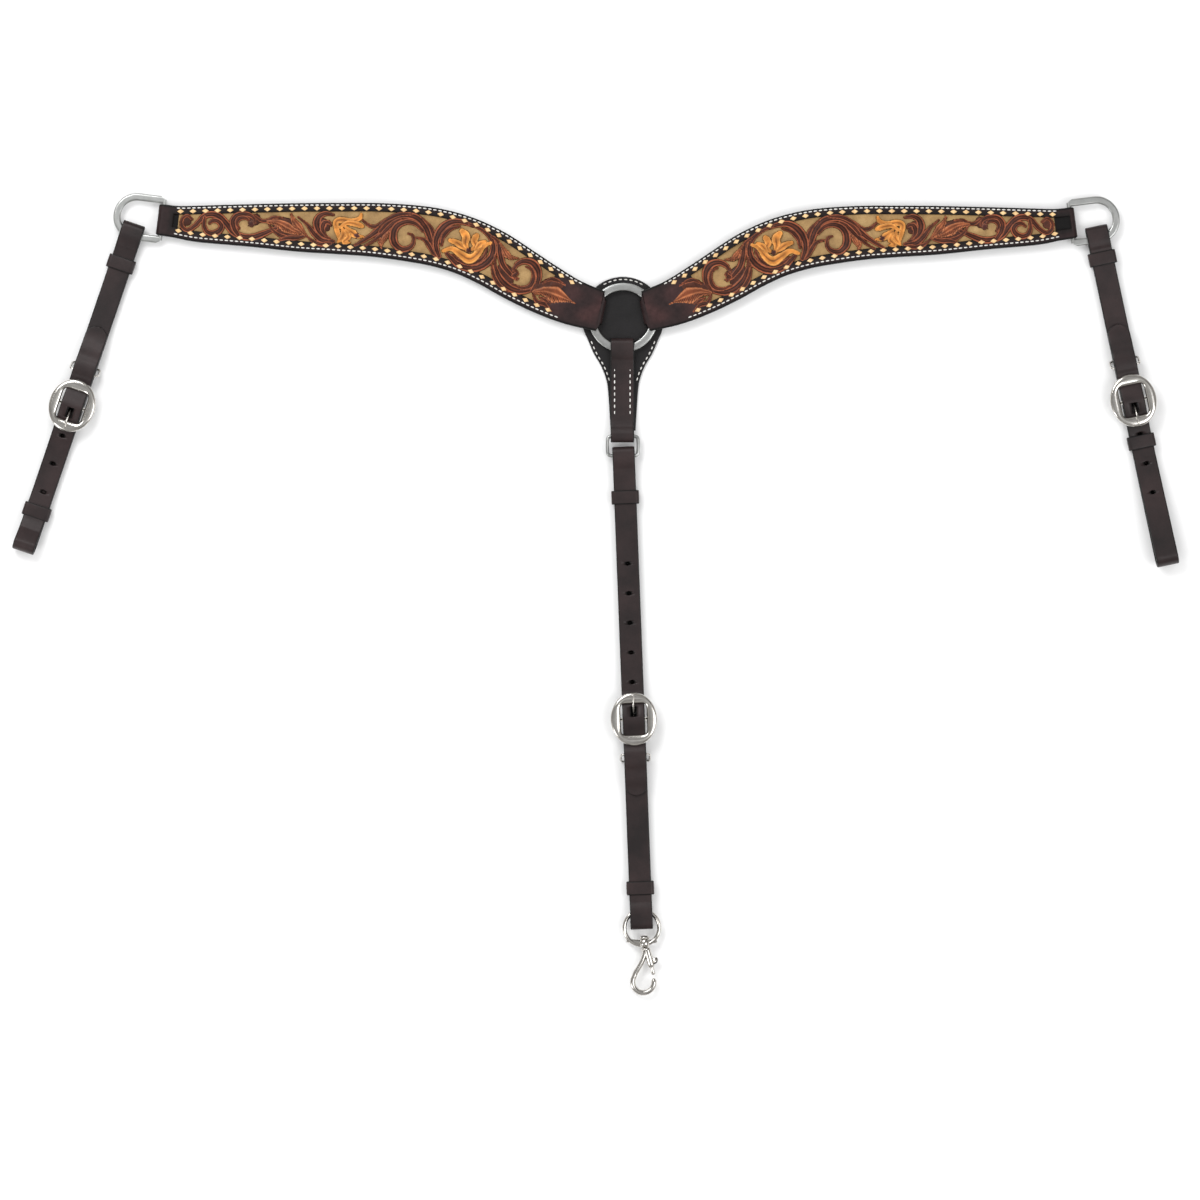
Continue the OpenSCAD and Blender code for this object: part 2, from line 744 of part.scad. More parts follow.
module snap_hook() {
    elbow = [1.2, -30];
    joint_r = hook_wire + 0.35;
    left_end = hook_at + hook_r * [cos(150), sin(150)];
    tip_end = hook_at + hook_r * [cos(tip_angle), sin(tip_angle)];
    color([0.85, 0.85, 0.86])
        snap_frame()
            difference() {
                union() {
                    translate([hook_at[0], hook_at[1], 0])
                        rotate(150)
                            rotate_extrude(angle = 210 + tip_angle)
                                translate([hook_r, 0])
                                    circle(r = hook_wire, $fn = 24);
                    // joint balls, each turned so that its seam is clear of the bars
                    for (ball = [[left_end, 148], [elbow, -22], [tip_end, 90 + tip_angle]])
                        translate([ball[0][0], ball[0][1], 0])
                            rotate(ball[1])
                                sphere(r = joint_r, $fn = 24);
                    rod(left_end, elbow, hook_wire);
                    rod(elbow, [3.6, -19], hook_wire);
                    rod([stud_x, -17.3], [stud_x, -20], 3.4);
                    barrel_frame()
                        cylinder(r = barrel_r, h = barrel_l);
                }
                barrel_frame() {
                    translate([0, 0, 1.5])
                        cylinder(r = bore_r, h = barrel_l);
                    translate([0, -1.4, 3.2])
                        cube([10, 2.8, barrel_l - 5]);
                }
            }
}

// Bolt in the barrel, with its thumb piece standing out through the side slot
module snap_bolt() {
    color([0.85, 0.85, 0.86])
        snap_frame()
            barrel_frame() {
                translate([0, 0, 9.6])
                    cylinder(r = bore_r - 0.08, h = 13.6);
                translate([0, -1.1, 10.6])
                    cube([5, 2.2, 3]);
                translate([3.6, 0, 12.1])
                    rotate([90, 0, 0])
                        intersection() {
                            cylinder(r = 4.4, h = 3.6, center = true);
                            translate([0, -5, -5])
                                cube([10, 10, 10]);
                        }
            }
}

// Bolt spring: turns of wire between the barrel's closed end and the bolt
module snap_spring() {
    turns = 6;
    color([0.6, 0.6, 0.6])
        snap_frame()
            barrel_frame()
                for (i = [0 : turns - 1])
                    translate([0, 0, 2 + i * 1.3])
                        rotate_extrude()
                            translate([1.3, 0])
                                circle(r = 0.35, $fn = 16);
}

ring_safe();
safe_stitching();
drop_strap();
drop_stitching();
centre_ring();
drop_ring();
left_yoke_backing();
left_yoke_inlay();
left_yoke_front();
left_edge_stitching();
left_buckstitch();
left_dee();
right_yoke_backing();
right_yoke_inlay();
right_yoke_front();
right_edge_stitching();
right_buckstitch();
right_dee();
left_tug_strap();
left_buckle_frame();
left_buckle_tongue();
left_wire_keeper();
left_upper_keeper();
left_lower_keeper();
right_tug_strap();
right_buckle_frame();
right_buckle_tongue();
right_wire_keeper();
right_upper_keeper();
right_lower_keeper();
tie_down_strap();
tie_buckle_frame();
tie_buckle_tongue();
tie_wire_keeper();
tie_upper_keeper();
tie_lower_keeper();
snap_eye();
snap_swivel_stud();
snap_hook();
snap_bolt();
snap_spring();
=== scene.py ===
import bpy
import json
import numpy as np
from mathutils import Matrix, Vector


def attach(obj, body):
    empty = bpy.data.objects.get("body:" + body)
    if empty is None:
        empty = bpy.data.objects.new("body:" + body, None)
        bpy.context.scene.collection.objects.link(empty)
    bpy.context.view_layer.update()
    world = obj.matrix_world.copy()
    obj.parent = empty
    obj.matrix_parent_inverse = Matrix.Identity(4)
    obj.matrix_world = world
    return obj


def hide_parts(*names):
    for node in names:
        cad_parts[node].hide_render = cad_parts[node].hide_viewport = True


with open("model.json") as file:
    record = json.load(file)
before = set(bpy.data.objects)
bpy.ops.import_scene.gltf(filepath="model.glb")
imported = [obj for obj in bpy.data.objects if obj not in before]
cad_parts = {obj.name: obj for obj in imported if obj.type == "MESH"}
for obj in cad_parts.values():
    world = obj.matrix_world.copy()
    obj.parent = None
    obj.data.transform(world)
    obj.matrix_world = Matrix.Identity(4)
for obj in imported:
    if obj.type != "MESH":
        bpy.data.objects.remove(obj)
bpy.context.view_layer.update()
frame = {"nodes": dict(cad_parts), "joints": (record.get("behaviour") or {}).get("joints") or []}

# Western breast collar laid flat: two carved and inlaid yokes on a ring, buckled tugs, tie-down and snap.
# Shapes are worked out in millimetres and put into the meshes in metres.

mm = 0.001
up = np.array([0.0, 0.0, 1.0])


def jointPlace(name):
    # x, y, z of a joint, in millimetres
    for joint in frame["joints"]:
        if joint["name"] == name:
            return np.array(joint["pos_m"], float) / mm
    raise ValueError(name)


def makeMesh(name, points, quads, caps=(), fields=None):
    # one mesh from whole arrays: points (n, 3) in mm, quads (m, 4), caps as lists of corner numbers
    # turned right way out by the sign of its volume, sum of p0 . (p1 x p2) / 6 over its triangles
    points = np.asarray(points, float)
    tri = np.concatenate([quads[:, [0, 1, 2]], quads[:, [0, 2, 3]]])
    middle = points.mean(axis=0)
    a, b, c = (points[tri[:, i]] - middle for i in range(3))
    if np.einsum("ij,ij->i", a, np.cross(b, c)).sum() < 0:
        quads = quads[:, ::-1]
        caps = [cap[::-1] for cap in caps]
    loops = np.concatenate([quads.ravel()] + [np.asarray(cap) for cap in caps]).astype(np.int32)
    sizes = np.concatenate([np.full(len(quads), 4), [len(cap) for cap in caps]]).astype(np.int32)
    mesh = bpy.data.meshes.new(name)
    mesh.vertices.add(len(points))
    mesh.vertices.foreach_set("co", (points * mm).astype(np.float32).ravel())
    mesh.loops.add(len(loops))
    mesh.loops.foreach_set("vertex_index", loops)
    mesh.polygons.add(len(sizes))
    mesh.polygons.foreach_set("loop_start", np.concatenate([[0], np.cumsum(sizes)[:-1]]).astype(np.int32))
    mesh.update(calc_edges=True)
    for field, values in (fields or {}).items():
        values = np.asarray(values, np.float32)
        if values.ndim == 2:
            layer = mesh.color_attributes.new(field, "FLOAT_COLOR", "POINT")
            colours = np.hstack([values, np.ones((len(values), 1))])
            layer.data.foreach_set("color", colours.astype(np.float32).ravel())
        else:
            mesh.attributes.new(field, "FLOAT", "POINT").data.foreach_set("value", values)
    mesh.validate()
    mesh.shade_smooth()
    piece = bpy.data.objects.new(name, mesh)
    bpy.context.scene.collection.objects.link(piece)
    return piece


def gridQuads(rows, columns, closeRows=False, closeColumns=True):
    # corner numbers of a grid of rows x columns points
    i = np.arange(rows if closeRows else rows - 1)[:, None]
    j = np.arange(columns if closeColumns else columns - 1)[None, :]
    i2, j2 = (i + 1) % rows, (j + 1) % columns
    return np.stack([i * columns + j, i * columns + j2, i2 * columns + j2, i2 * columns + j], -1).reshape(-1, 4)


def sweep(name, centre, side, out, profile, closed=False, fields=None):
    # profile (n, k, 2) carried along a path: centre + side * across + out * height
    points = centre[:, None] + side[:, None] * profile[..., :1] + out[:, None] * profile[..., 1:]
    rows, columns = profile.shape[:2]
    quads = gridQuads(rows, columns, closed)
    caps = [] if closed else [list(range(columns))[::-1], list(range((rows - 1) * columns, rows * columns))]
    return makeMesh(name, points.reshape(-1, 3), quads, caps, fields)


def roundCorners(path, passes=2):
    # Chaikin: each corner is cut at a quarter and three quarters of its two sides
    for _ in range(passes):
        near, far = path[:-1], path[1:]
        cut = np.stack([0.75 * near + 0.25 * far, 0.25 * near + 0.75 * far], 1).reshape(-1, path.shape[1])
        path = np.concatenate([path[:1], cut, path[-1:]])
    return path


def evenly(path, step):
    # points at equal steps of arc length along a path, and those lengths
    length = np.concatenate([[0], np.cumsum(np.linalg.norm(np.diff(path, axis=0), axis=1))])
    at = np.linspace(0, length[-1], max(int(round(length[-1] / step)) + 1, 3))
    return np.stack([np.interp(at, length, path[:, k]) for k in range(path.shape[1])], 1), at


def headings(path, closed=False):
    # unit direction at each point, from its two neighbours
    if closed:
        d = np.roll(path, -1, 0) - np.roll(path, 1, 0)
    else:
        d = np.gradient(path, axis=0)
    return d / np.maximum(np.linalg.norm(d, axis=1, keepdims=True), 1e-9)


def throughPoints(points, count):
    # Catmull-Rom curve: 0.5 (2 p1 + (p2 - p0) f + (2 p0 - 5 p1 + 4 p2 - p3) f^2 + (3 p1 - p0 - 3 p2 + p3) f^3)
    points = np.asarray(points, float)
    last = len(points) - 1
    t = np.linspace(0, last, count)
    i = np.minimum(t.astype(int), last - 1)
    f = (t - i)[:, None]
    p0, p1, p2, p3 = (points[np.clip(i + k, 0, last)] for k in (-1, 0, 1, 2))
    return 0.5 * (2 * p1 + (p2 - p0) * f + (2 * p0 - 5 * p1 + 4 * p2 - p3) * f**2
                  + (3 * p1 - p0 - 3 * p2 + p3) * f**3)


def bentLoop(halfWidth, low, high, bend, count, step):
    # closed rectangle with bent corners, (1 - t)^2 start + 2 t (1 - t) corner + t^2 end, at equal steps
    corner = np.array([(-halfWidth, low), (halfWidth, low), (halfWidth, high), (-halfWidth, high)])
    before, after = (np.roll(corner, k, 0) - corner for k in (1, -1))
    start, end = (corner + d / np.linalg.norm(d, axis=1, keepdims=True) * bend for d in (before, after))
    t = np.linspace(0, 1, count)[None, :, None]
    path = (1 - t)**2 * start[:, None] + 2 * t * (1 - t) * corner[:, None] + t**2 * end[:, None]
    path = path.reshape(-1, 2)
    return evenly(np.concatenate([path, path[:1]]), step)[0][:-1]


def arcPoints(middle, radius, start, end, count=16):
    # middle + radius (cos a, sin a) from start to end degrees
    a = np.radians(np.linspace(start, end, count))
    return np.stack([middle[0] + radius * np.cos(a), middle[1] + radius * np.sin(a)], 1)


def slabProfile(halfWidth, thick, edge, crown=0.0):
    # rounded rectangle of each row's half width: corners of radius edge, a slight crown on top
    halfWidth = np.asarray(halfWidth, float)[:, None]
    half = thick / 2
    edge = np.minimum(edge, half * 0.99)
    r = np.minimum(edge, halfWidth * 0.9)
    turn = np.radians(np.linspace(0, 90, 5))[None, :]
    inner = np.maximum(halfWidth - r - np.array([[0.9, 2.4]]), halfWidth * np.array([[0.5, 0.3]]))
    right = np.concatenate([halfWidth - r + r * np.cos(turn), inner], 1)
    rightUp = np.concatenate([half - edge + edge * np.sin(turn) + 0 * halfWidth,
                              half + crown * np.array([[0.45, 0.8]]) + 0 * halfWidth], 1)
    mid = np.zeros_like(halfWidth)
    across = np.concatenate([right, mid, -right[:, ::-1], -right, mid, right[:, ::-1]], 1)
    lower = np.minimum(rightUp, half)
    height = np.concatenate([rightUp, mid + half + crown, rightUp[:, ::-1],
                             -lower, mid - half, -lower[:, ::-1]], 1)
    return np.stack([across, height], -1)


def tubeProfile(radius, count=16, flat=1.0):
    # circle of each row's radius, pressed to flat times its height
    a = np.linspace(0, 2 * np.pi, count, endpoint=False)[None, :]
    radius = np.asarray(radius, float)[:, None]
    return np.stack([radius * np.cos(a), radius * flat * np.sin(a)], -1)


def tube(name, path, radius, closed=False, count=16, hint=up, flat=1.0):
    # round bar along a path; its radius may change on the way
    path = np.asarray(path, float)
    d = headings(path, closed)
    side = np.cross(d, hint)
    side /= np.maximum(np.linalg.norm(side, axis=1, keepdims=True), 1e-9)
    out = np.cross(side, d)
    radius = np.broadcast_to(radius, len(path))
    return sweep(name, path, side, out, tubeProfile(radius, count, flat), closed)


def lathe(name, start, axis, stations, count=32):
    # round piece: rings of the given radii at the given distances along an axis from start
    axis = np.asarray(axis, float) / np.linalg.norm(axis)
    stations = np.asarray(stations, float)
    side = np.cross(axis, [0.3, 0.2, 0.9])
    side /= np.linalg.norm(side)
    out = np.cross(axis, side)
    centre = np.asarray(start, float) + stations[:, :1] * axis
    n = len(stations)
    return sweep(name, centre, np.tile(side, (n, 1)), np.tile(out, (n, 1)), tubeProfile(stations[:, 1], count))


def joined(name, parts):
    # several pieces made one mesh
    bpy.ops.object.select_all(action="DESELECT")
    for part in parts:
        part.select_set(True)
    bpy.context.view_layer.objects.active = parts[0]
    bpy.ops.object.join()
    parts[0].name = name
    return parts[0]


def copies(name, template, quads, places, along, widths=None, z=0.0):
    # a small template mesh set down at many places, turned to the direction of the row there
    # x' = place + along * x + left * y
    left = np.stack([-along[:, 1], along[:, 0]], 1)
    scale = np.ones(len(places)) if widths is None else widths
    x = template[None, :, 0] * scale[:, None]
    y = template[None, :, 1] * np.ones_like(scale)[:, None]
    flat = places[:, None, :2] + along[:, None] * x[..., None] + left[:, None] * y[..., None]
    height = z + np.broadcast_to(template[None, :, 2:], flat.shape[:2] + (1,))
    points = np.concatenate([flat, height], -1).reshape(-1, 3)
    shift = (np.arange(len(places)) * len(template))[:, None, None]
    return makeMesh(name, points, (quads[None] + shift).reshape(-1, 4))


def pillow(halfLength, halfWidth, height, power=1.0, rows=5, columns=8):
    # flattened ball: x = a cos(lat) cos(lon)^p, y = b cos(lat) sin(lon)^p, z = h sin(lat); power 2 is a diamond
    lat = np.radians(np.linspace(-88, 88, rows))[:, None]
    lon = np.linspace(0, 2 * np.pi, columns, endpoint=False)[None, :]
    c, s = np.cos(lon), np.sin(lon)
    x = halfLength * np.cos(lat) * np.sign(c) * np.abs(c)**power
    y = halfWidth * np.cos(lat) * np.sign(s) * np.abs(s)**power
    z = height * np.sin(lat) + 0 * lon
    return np.stack([x, y, z], -1).reshape(-1, 3), gridQuads(rows, columns)


def cutThrough(piece, cutter):
    # takes the cutter's shape out of the piece
    step = piece.modifiers.new("holes", "BOOLEAN")
    step.operation = "DIFFERENCE"
    step.object = cutter
    step.solver = "EXACT"
    depsgraph = bpy.context.evaluated_depsgraph_get()
    mesh = bpy.data.meshes.new_from_object(piece.evaluated_get(depsgraph), depsgraph=depsgraph)
    piece.modifiers.clear()
    old = piece.data
    piece.data = mesh
    bpy.data.meshes.remove(old)
    bpy.data.objects.remove(cutter)


def settle(piece, body, nodes, material):
    # puts the material on, and says which body and nodes the piece stands for
    piece.data.materials.clear()
    piece.data.materials.append(material)
    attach(piece, body)
    if nodes:
        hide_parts(*nodes)


def shaderOf(material):
    return material.node_tree.nodes["Principled BSDF"]


def newMaterial(name):
    material = bpy.data.materials.new(name)
    material.use_nodes = True
    return material, material.node_tree.nodes, material.node_tree.links


def noise(nodes, links, coordinate, scale, detail=4.0, roughness=0.6):
    node = nodes.new("ShaderNodeTexNoise")
    node.inputs["Scale"].default_value = scale
    node.inputs["Detail"].default_value = detail
    node.inputs["Roughness"].default_value = roughness
    links.new(coordinate, node.inputs["Vector"])
    return node


def ramp(nodes, links, value, stops):
    node = nodes.new("ShaderNodeValToRGB")
    while len(node.color_ramp.elements) < len(stops):
        node.color_ramp.elements.new(0.5)
    for element, (place, colour) in zip(node.color_ramp.elements, stops):
        element.position = place
        element.color = (*colour, 1)
    links.new(value, node.inputs["Fac"])
    return node.outputs["Color"]


def mixed(nodes, links, kind, amount, first, second):
    # MIX or MULTIPLY of two colours by an amount or a link
    node = nodes.new("ShaderNodeMix")
    node.data_type = "RGBA"
    node.blend_type = kind
    for value, socket in ((amount, node.inputs[0]), (first, node.inputs[6]), (second, node.inputs[7])):
        if isinstance(value, bpy.types.NodeSocket):
            links.new(value, socket)
        elif isinstance(value, (int, float)):
            socket.default_value = value
        else:
            socket.default_value = (*value, 1)
    return node.outputs[2]


def bumps(nodes, links, material, heights):
    # a chain of bump nodes, each with its height, its depth in metres and its strength
    normal = None
    for value, depth, strength in heights:
        node = nodes.new("ShaderNodeBump")
        node.inputs["Distance"].default_value = depth
        node.inputs["Strength"].default_value = strength
        links.new(value, node.inputs["Height"])
        if normal is not None:
            links.new(normal, node.inputs["Normal"])
        normal = node.outputs["Normal"]
    links.new(normal, shaderOf(material).inputs["Normal"])


def mappedTo(nodes, links, value, low, high):
    node = nodes.new("ShaderNodeMapRange")
    node.inputs["To Min"].default_value = low
    node.inputs["To Max"].default_value = high
    links.new(value, node.inputs["Value"])
    return node.outputs["Result"]


def attribute(nodes, name):
    node = nodes.new("ShaderNodeAttribute")
    node.attribute_name = name
    return node


leather = {
    "dark": ((0.011, 0.0065, 0.0068), (0.034, 0.0185, 0.0185)),
    "black": ((0.004, 0.0035, 0.004), (0.010, 0.0085, 0.0095)),
    "edge": (0.003, 0.0025, 0.0025),
    "specular": 0.38,
    "roughness": (0.36, 0.5),
    "grainScale": 1100.0,
    "grainDepth": 0.00012,
}


def leatherMaterial(name, tones, edgeWidth):
    # pull-up harness leather: cloudy tone, fine grain, near-black burnished edge where the edge field is small
    material, nodes, links = newMaterial(name)
    place = nodes.new("ShaderNodeTexCoord").outputs["Object"]
    cloud = noise(nodes, links, place, 28, 5, 0.62)
    colour = ramp(nodes, links, cloud.outputs["Fac"], [(0.32, tones[0]), (0.72, tones[1])])
    grain = noise(nodes, links, place, leather["grainScale"], 3, 0.7)
    speck = ramp(nodes, links, grain.outputs["Fac"], [(0.3, (0.72, 0.72, 0.72)), (0.7, (1.1, 1.08, 1.08))])
    colour = mixed(nodes, links, "MULTIPLY", 0.7, colour, speck)
    if edgeWidth:
        field = attribute(nodes, "edge").outputs["Fac"]
        worn = nodes.new("ShaderNodeMapRange")
        worn.interpolation_type = "SMOOTHSTEP"
        worn.inputs["From Min"].default_value = edgeWidth * 0.4
        worn.inputs["From Max"].default_value = edgeWidth
        links.new(field, worn.inputs["Value"])
        colour = mixed(nodes, links, "MIX", worn.outputs["Result"], leather["edge"], colour)
    links.new(colour, shaderOf(material).inputs["Base Color"])
    shaderOf(material).inputs["Specular IOR Level"].default_value = leather["specular"]
    wear = noise(nodes, links, place, 90, 4, 0.6)
    shine = mappedTo(nodes, links, wear.outputs["Fac"], *leather["roughness"])
    links.new(shine, shaderOf(material).inputs["Roughness"])
    creases = nodes.new("ShaderNodeTexVoronoi")
    creases.inputs["Scale"].default_value = 650
    links.new(place, creases.inputs["Vector"])
    bumps(nodes, links, material, [(grain.outputs["Fac"], leather["grainDepth"], 0.5),
                                   (creases.outputs["Distance"], 0.00008, 0.35),
                                   (wear.outputs["Fac"], 0.0004, 0.18)])
    return material


def carvedMaterial():
    # colour painted on the carving by its own field, which holds the dyes together with painted rim highlights and a
    # painted sheen, with dye mottling and tool marks
    material, nodes, links = newMaterial("carvedLeather")
    place = nodes.new("ShaderNodeTexCoord").outputs["Object"]
    base = attribute(nodes, "dyeAndPaintedLight").outputs["Color"]
    mottle = noise(nodes, links, place, 260, 5, 0.65)
    tint = ramp(nodes, links, mottle.outputs["Fac"], [(0.28, (0.62, 0.58, 0.58)), (0.72, (1.25, 1.2, 1.15))])
    colour = mixed(nodes, links, "MULTIPLY", 0.8, base, tint)
    links.new(colour, shaderOf(material).inputs["Base Color"])
    shaderOf(material).inputs["Specular IOR Level"].default_value = 0.22
    grain = noise(nodes, links, place, 1500, 3, 0.7)
    links.new(mappedTo(nodes, links, mottle.outputs["Fac"], 0.36, 0.54), shaderOf(material).inputs["Roughness"])
    bumps(nodes, links, material, [(grain.outputs["Fac"], 0.0001, 0.4), (mottle.outputs["Fac"], 0.0002, 0.25)])
    return material


def suedeMaterial():
    # short nap: patchy tone, fuzzy fine grain and a soft sheen
    material, nodes, links = newMaterial("goldSuede")
    place = nodes.new("ShaderNodeTexCoord").outputs["Object"]
    patch = noise(nodes, links, place, 70, 6, 0.7)
    colour = ramp(nodes, links, patch.outputs["Fac"],
                  [(0.25, (0.20, 0.115, 0.048)), (0.55, (0.38, 0.235, 0.095)), (0.8, (0.54, 0.36, 0.165))])
    nap = noise(nodes, links, place, 2200, 2, 0.8)
    colour = mixed(nodes, links, "MULTIPLY", 0.55, colour,
                   ramp(nodes, links, nap.outputs["Fac"], [(0.3, (0.6, 0.6, 0.6)), (0.7, (1.2, 1.2, 1.2))]))
    shader = shaderOf(material)
    links.new(colour, shader.inputs["Base Color"])
    shader.inputs["Roughness"].default_value = 0.92
    shader.inputs["Sheen Weight"].default_value = 0.35
    shader.inputs["Sheen Roughness"].default_value = 0.4
    bumps(nodes, links, material, [(nap.outputs["Fac"], 0.00018, 0.6)])
    return material


def threadMaterial(name, low, high, twist, roughness):
    # twisted thread or lace: fine slanted bands and a little soiling
    material, nodes, links = newMaterial(name)
    place = nodes.new("ShaderNodeTexCoord").outputs["Object"]
    soil = noise(nodes, links, place, 320, 4, 0.6)
    colour = ramp(nodes, links, soil.outputs["Fac"], [(0.3, low), (0.7, high)])
    band = nodes.new("ShaderNodeTexWave")
    band.bands_direction = "DIAGONAL"
    band.inputs["Scale"].default_value = twist
    band.inputs["Distortion"].default_value = 1.5
    links.new(place, band.inputs["Vector"])
    links.new(colour, shaderOf(material).inputs["Base Color"])
    shaderOf(material).inputs["Roughness"].default_value = roughness
    bumps(nodes, links, material, [(band.outputs["Fac"], 0.00012, 0.45)])
    return material


def metalMaterial(name, low, high, roughness, brush, depth):
    # polished or satin steel: faint cloudy tone, fine polishing lines and small dents
    material, nodes, links = newMaterial(name)
    place = nodes.new("ShaderNodeTexCoord").outputs["Object"]
    stretch = nodes.new("ShaderNodeMapping")
    stretch.inputs["Scale"].default_value = (1.0, 9.0, 1.0)
    stretch.inputs["Rotation"].default_value = (0, 0, 0.5)
    links.new(place, stretch.inputs["Vector"])
    lines = noise(nodes, links, stretch.outputs["Vector"], brush, 3, 0.7)
    cloud = noise(nodes, links, place, 120, 4, 0.6)
    colour = ramp(nodes, links, cloud.outputs["Fac"], [(0.3, low), (0.7, high)])
    shader = shaderOf(material)
    shader.inputs["Metallic"].default_value = 1.0
    links.new(colour, shader.inputs["Base Color"])
    links.new(mappedTo(nodes, links, lines.outputs["Fac"], *roughness), shader.inputs["Roughness"])
    bumps(nodes, links, material, [(lines.outputs["Fac"], depth, 0.35), (cloud.outputs["Fac"], 0.0002, 0.05)])
    return material


darkLeather = leatherMaterial("darkLeather", leather["dark"], 1.1)
blackLeather = leatherMaterial("blackLeather", leather["black"], 0)
carvedLeather = carvedMaterial()
goldSuede = suedeMaterial()
whiteThread = threadMaterial("whiteThread", (0.62, 0.60, 0.56), (0.86, 0.85, 0.82), 900, 0.62)
paleLace = threadMaterial("paleLace", (0.66, 0.40, 0.17), (0.90, 0.64, 0.33), 260, 0.55)
satinSteel = metalMaterial("satinSteel", (0.47, 0.48, 0.47), (0.58, 0.59, 0.58), (0.26, 0.40), 500, 0.00004)
brightSteel = metalMaterial("brightSteel", (0.62, 0.595, 0.56), (0.76, 0.74, 0.70), (0.12, 0.22), 700, 0.00001)
springSteel = metalMaterial("springSteel", (0.30, 0.30, 0.31), (0.42, 0.42, 0.43), (0.25, 0.4), 900, 0.00002)
print("materials ready")


strap = {
    "thick": 2.4, "width": 19.0, "edge": 0.85, "step": 1.3,
    "back": 3.5, "front": 6.1, "doubled": 8.7, "tail": 11.3, "over": 9.9,
    "hardware": 6.7, "bar": 9.05, "wrap": 2.95, "foldRadius": 3.2, "foldReach": 4.4,
    "holePitch": 25.2, "holeRadius": 1.8, "returnEnd": 47.0,
}


def strapSidePath(buckle, flatTo, slopeTo, farEnd, climb, tip):
    # side view (u, z) of one whole strap: buckle return, fold round the bar, hardware fold, back run,
    # far end, front run, over the buckle and down to the tip of the tail
    s = strap
    parts = [
        [(buckle - s["returnEnd"], s["front"]), (buckle - 6, s["front"])],
        arcPoints((buckle, s["bar"]), s["wrap"], -90, 90, 12),
        [(buckle - 9, s["doubled"]), (buckle - s["returnEnd"] - 4, s["doubled"]),
         (buckle - s["returnEnd"] - 12, s["front"]), (slopeTo, s["front"]), (flatTo, s["over"])],
        arcPoints((s["foldReach"], s["hardware"]), s["foldRadius"], 90, 270, 14),
        farEnd,
        [(buckle + climb, s["front"]), (buckle + 13, s["tail"]), (buckle + 3, s["bar"] + 5.5),
         (buckle - 3, s["bar"] + 5.5), (buckle - 13, s["tail"]), (buckle - 24, s["tail"]),
         (buckle - 28, 13.4), (buckle - 38, 13.4), (buckle - 43, s["tail"]),
         (buckle - s["returnEnd"] - 4, s["tail"]), (buckle - s["returnEnd"] - 12, s["doubled"]),
         (tip, s["doubled"])],
    ]
    return np.concatenate([np.asarray(p, float) for p in parts])


def tugLoop(length, radius, closeAt):
    # open loop at a tug's end, from the back run round to the front run
    return np.concatenate([[(length - 3 * radius, strap["back"])],
                           arcPoints((length - radius - 1.2, strap["back"] + radius), radius, -90, 90, 16),
                           [(closeAt, strap["front"])]])


def tieFarFold(length):
    # long fold round the drop ring's lower bar
    turn = arcPoints((length - strap["foldReach"], strap["hardware"]), strap["foldRadius"], -90, 90, 14)
    return np.concatenate([turn, [(length - 13, strap["over"]), (length - 22, strap["front"])]])


def strapPlace(origin, uDirection):
    # origin and the directions along, across and out of a strap
    u = np.array([uDirection[0], uDirection[1], 0.0])
    v = np.array([-uDirection[1], uDirection[0], 0.0])
    return np.array([origin[0], origin[1], 0.0]), u, v


def inStrap(place, u, v, z):
    origin, along, across = place
    # origin + u along + v across + z up
    u, v, z = (np.asarray(value, float) for value in (u, v, z))
    return origin + np.multiply.outer(u, along) + np.multiply.outer(v, across) + np.multiply.outer(z, up)


def makeStrap(name, place, path, buckle, holes, firstHole):
    # slab profile along the side path; half width sqrt(r^2 - (r - d)^2) within r of the tail's tip
    s = strap
    path, along = evenly(roundCorners(path), s["step"])
    d = headings(path)
    _, u, v = place
    centre = inStrap(place, path[:, 0], 0 * path[:, 0], path[:, 1])
    out = -d[:, 1:] * u + d[:, :1] * up
    half = s["width"] / 2
    left = np.minimum(along[-1] - along, half)
    widths = np.maximum(np.sqrt(np.maximum(half**2 - (half - left)**2, 0)), 1.2)
    profile = slabProfile(widths, s["thick"], s["edge"], 0.12)
    edge = (widths[:, None] - np.abs(profile[..., 0])).ravel()
    piece = sweep(name, centre, np.tile(v, (len(path), 1)), out, profile, fields={"edge": edge})
    cutters = [lathe("hole", inStrap(place, buckle + firstHole + i * s["holePitch"], 0, 3.0), up,
                     [(0, s["holeRadius"]), (30, s["holeRadius"])], 20) for i in range(holes)]
    for low, high, bottom, top in ((-5, 4.6, 4.8, 13.3), (2, 10.8, 10.05, 20)):
        corner = np.array([(low, -2.2), (high, -2.2), (high, 2.2), (low, 2.2)])
        ends = np.stack([inStrap(place, corner[:, 0], corner[:, 1], np.full(4, z)) for z in (bottom, top)])
        caps = [[0, 3, 2, 1], [4, 5, 6, 7]]
        cutters.append(makeMesh("slot", ends.reshape(-1, 3) + buckle * u, gridQuads(2, 4), caps))
    for cutter in cutters:
        cutThrough(piece, cutter)
    return piece


buckle = {
    "halfLength": 22.8, "halfWidth": 19.8, "openLength": 13.3, "openWidth": 11.2, "squareness": 0.28,
    "low": 12.7, "rise": 3.15, "barHalf": 14.5, "barRadius": 1.6, "eyeRadius": 2.25, "eyeWire": 0.62,
}


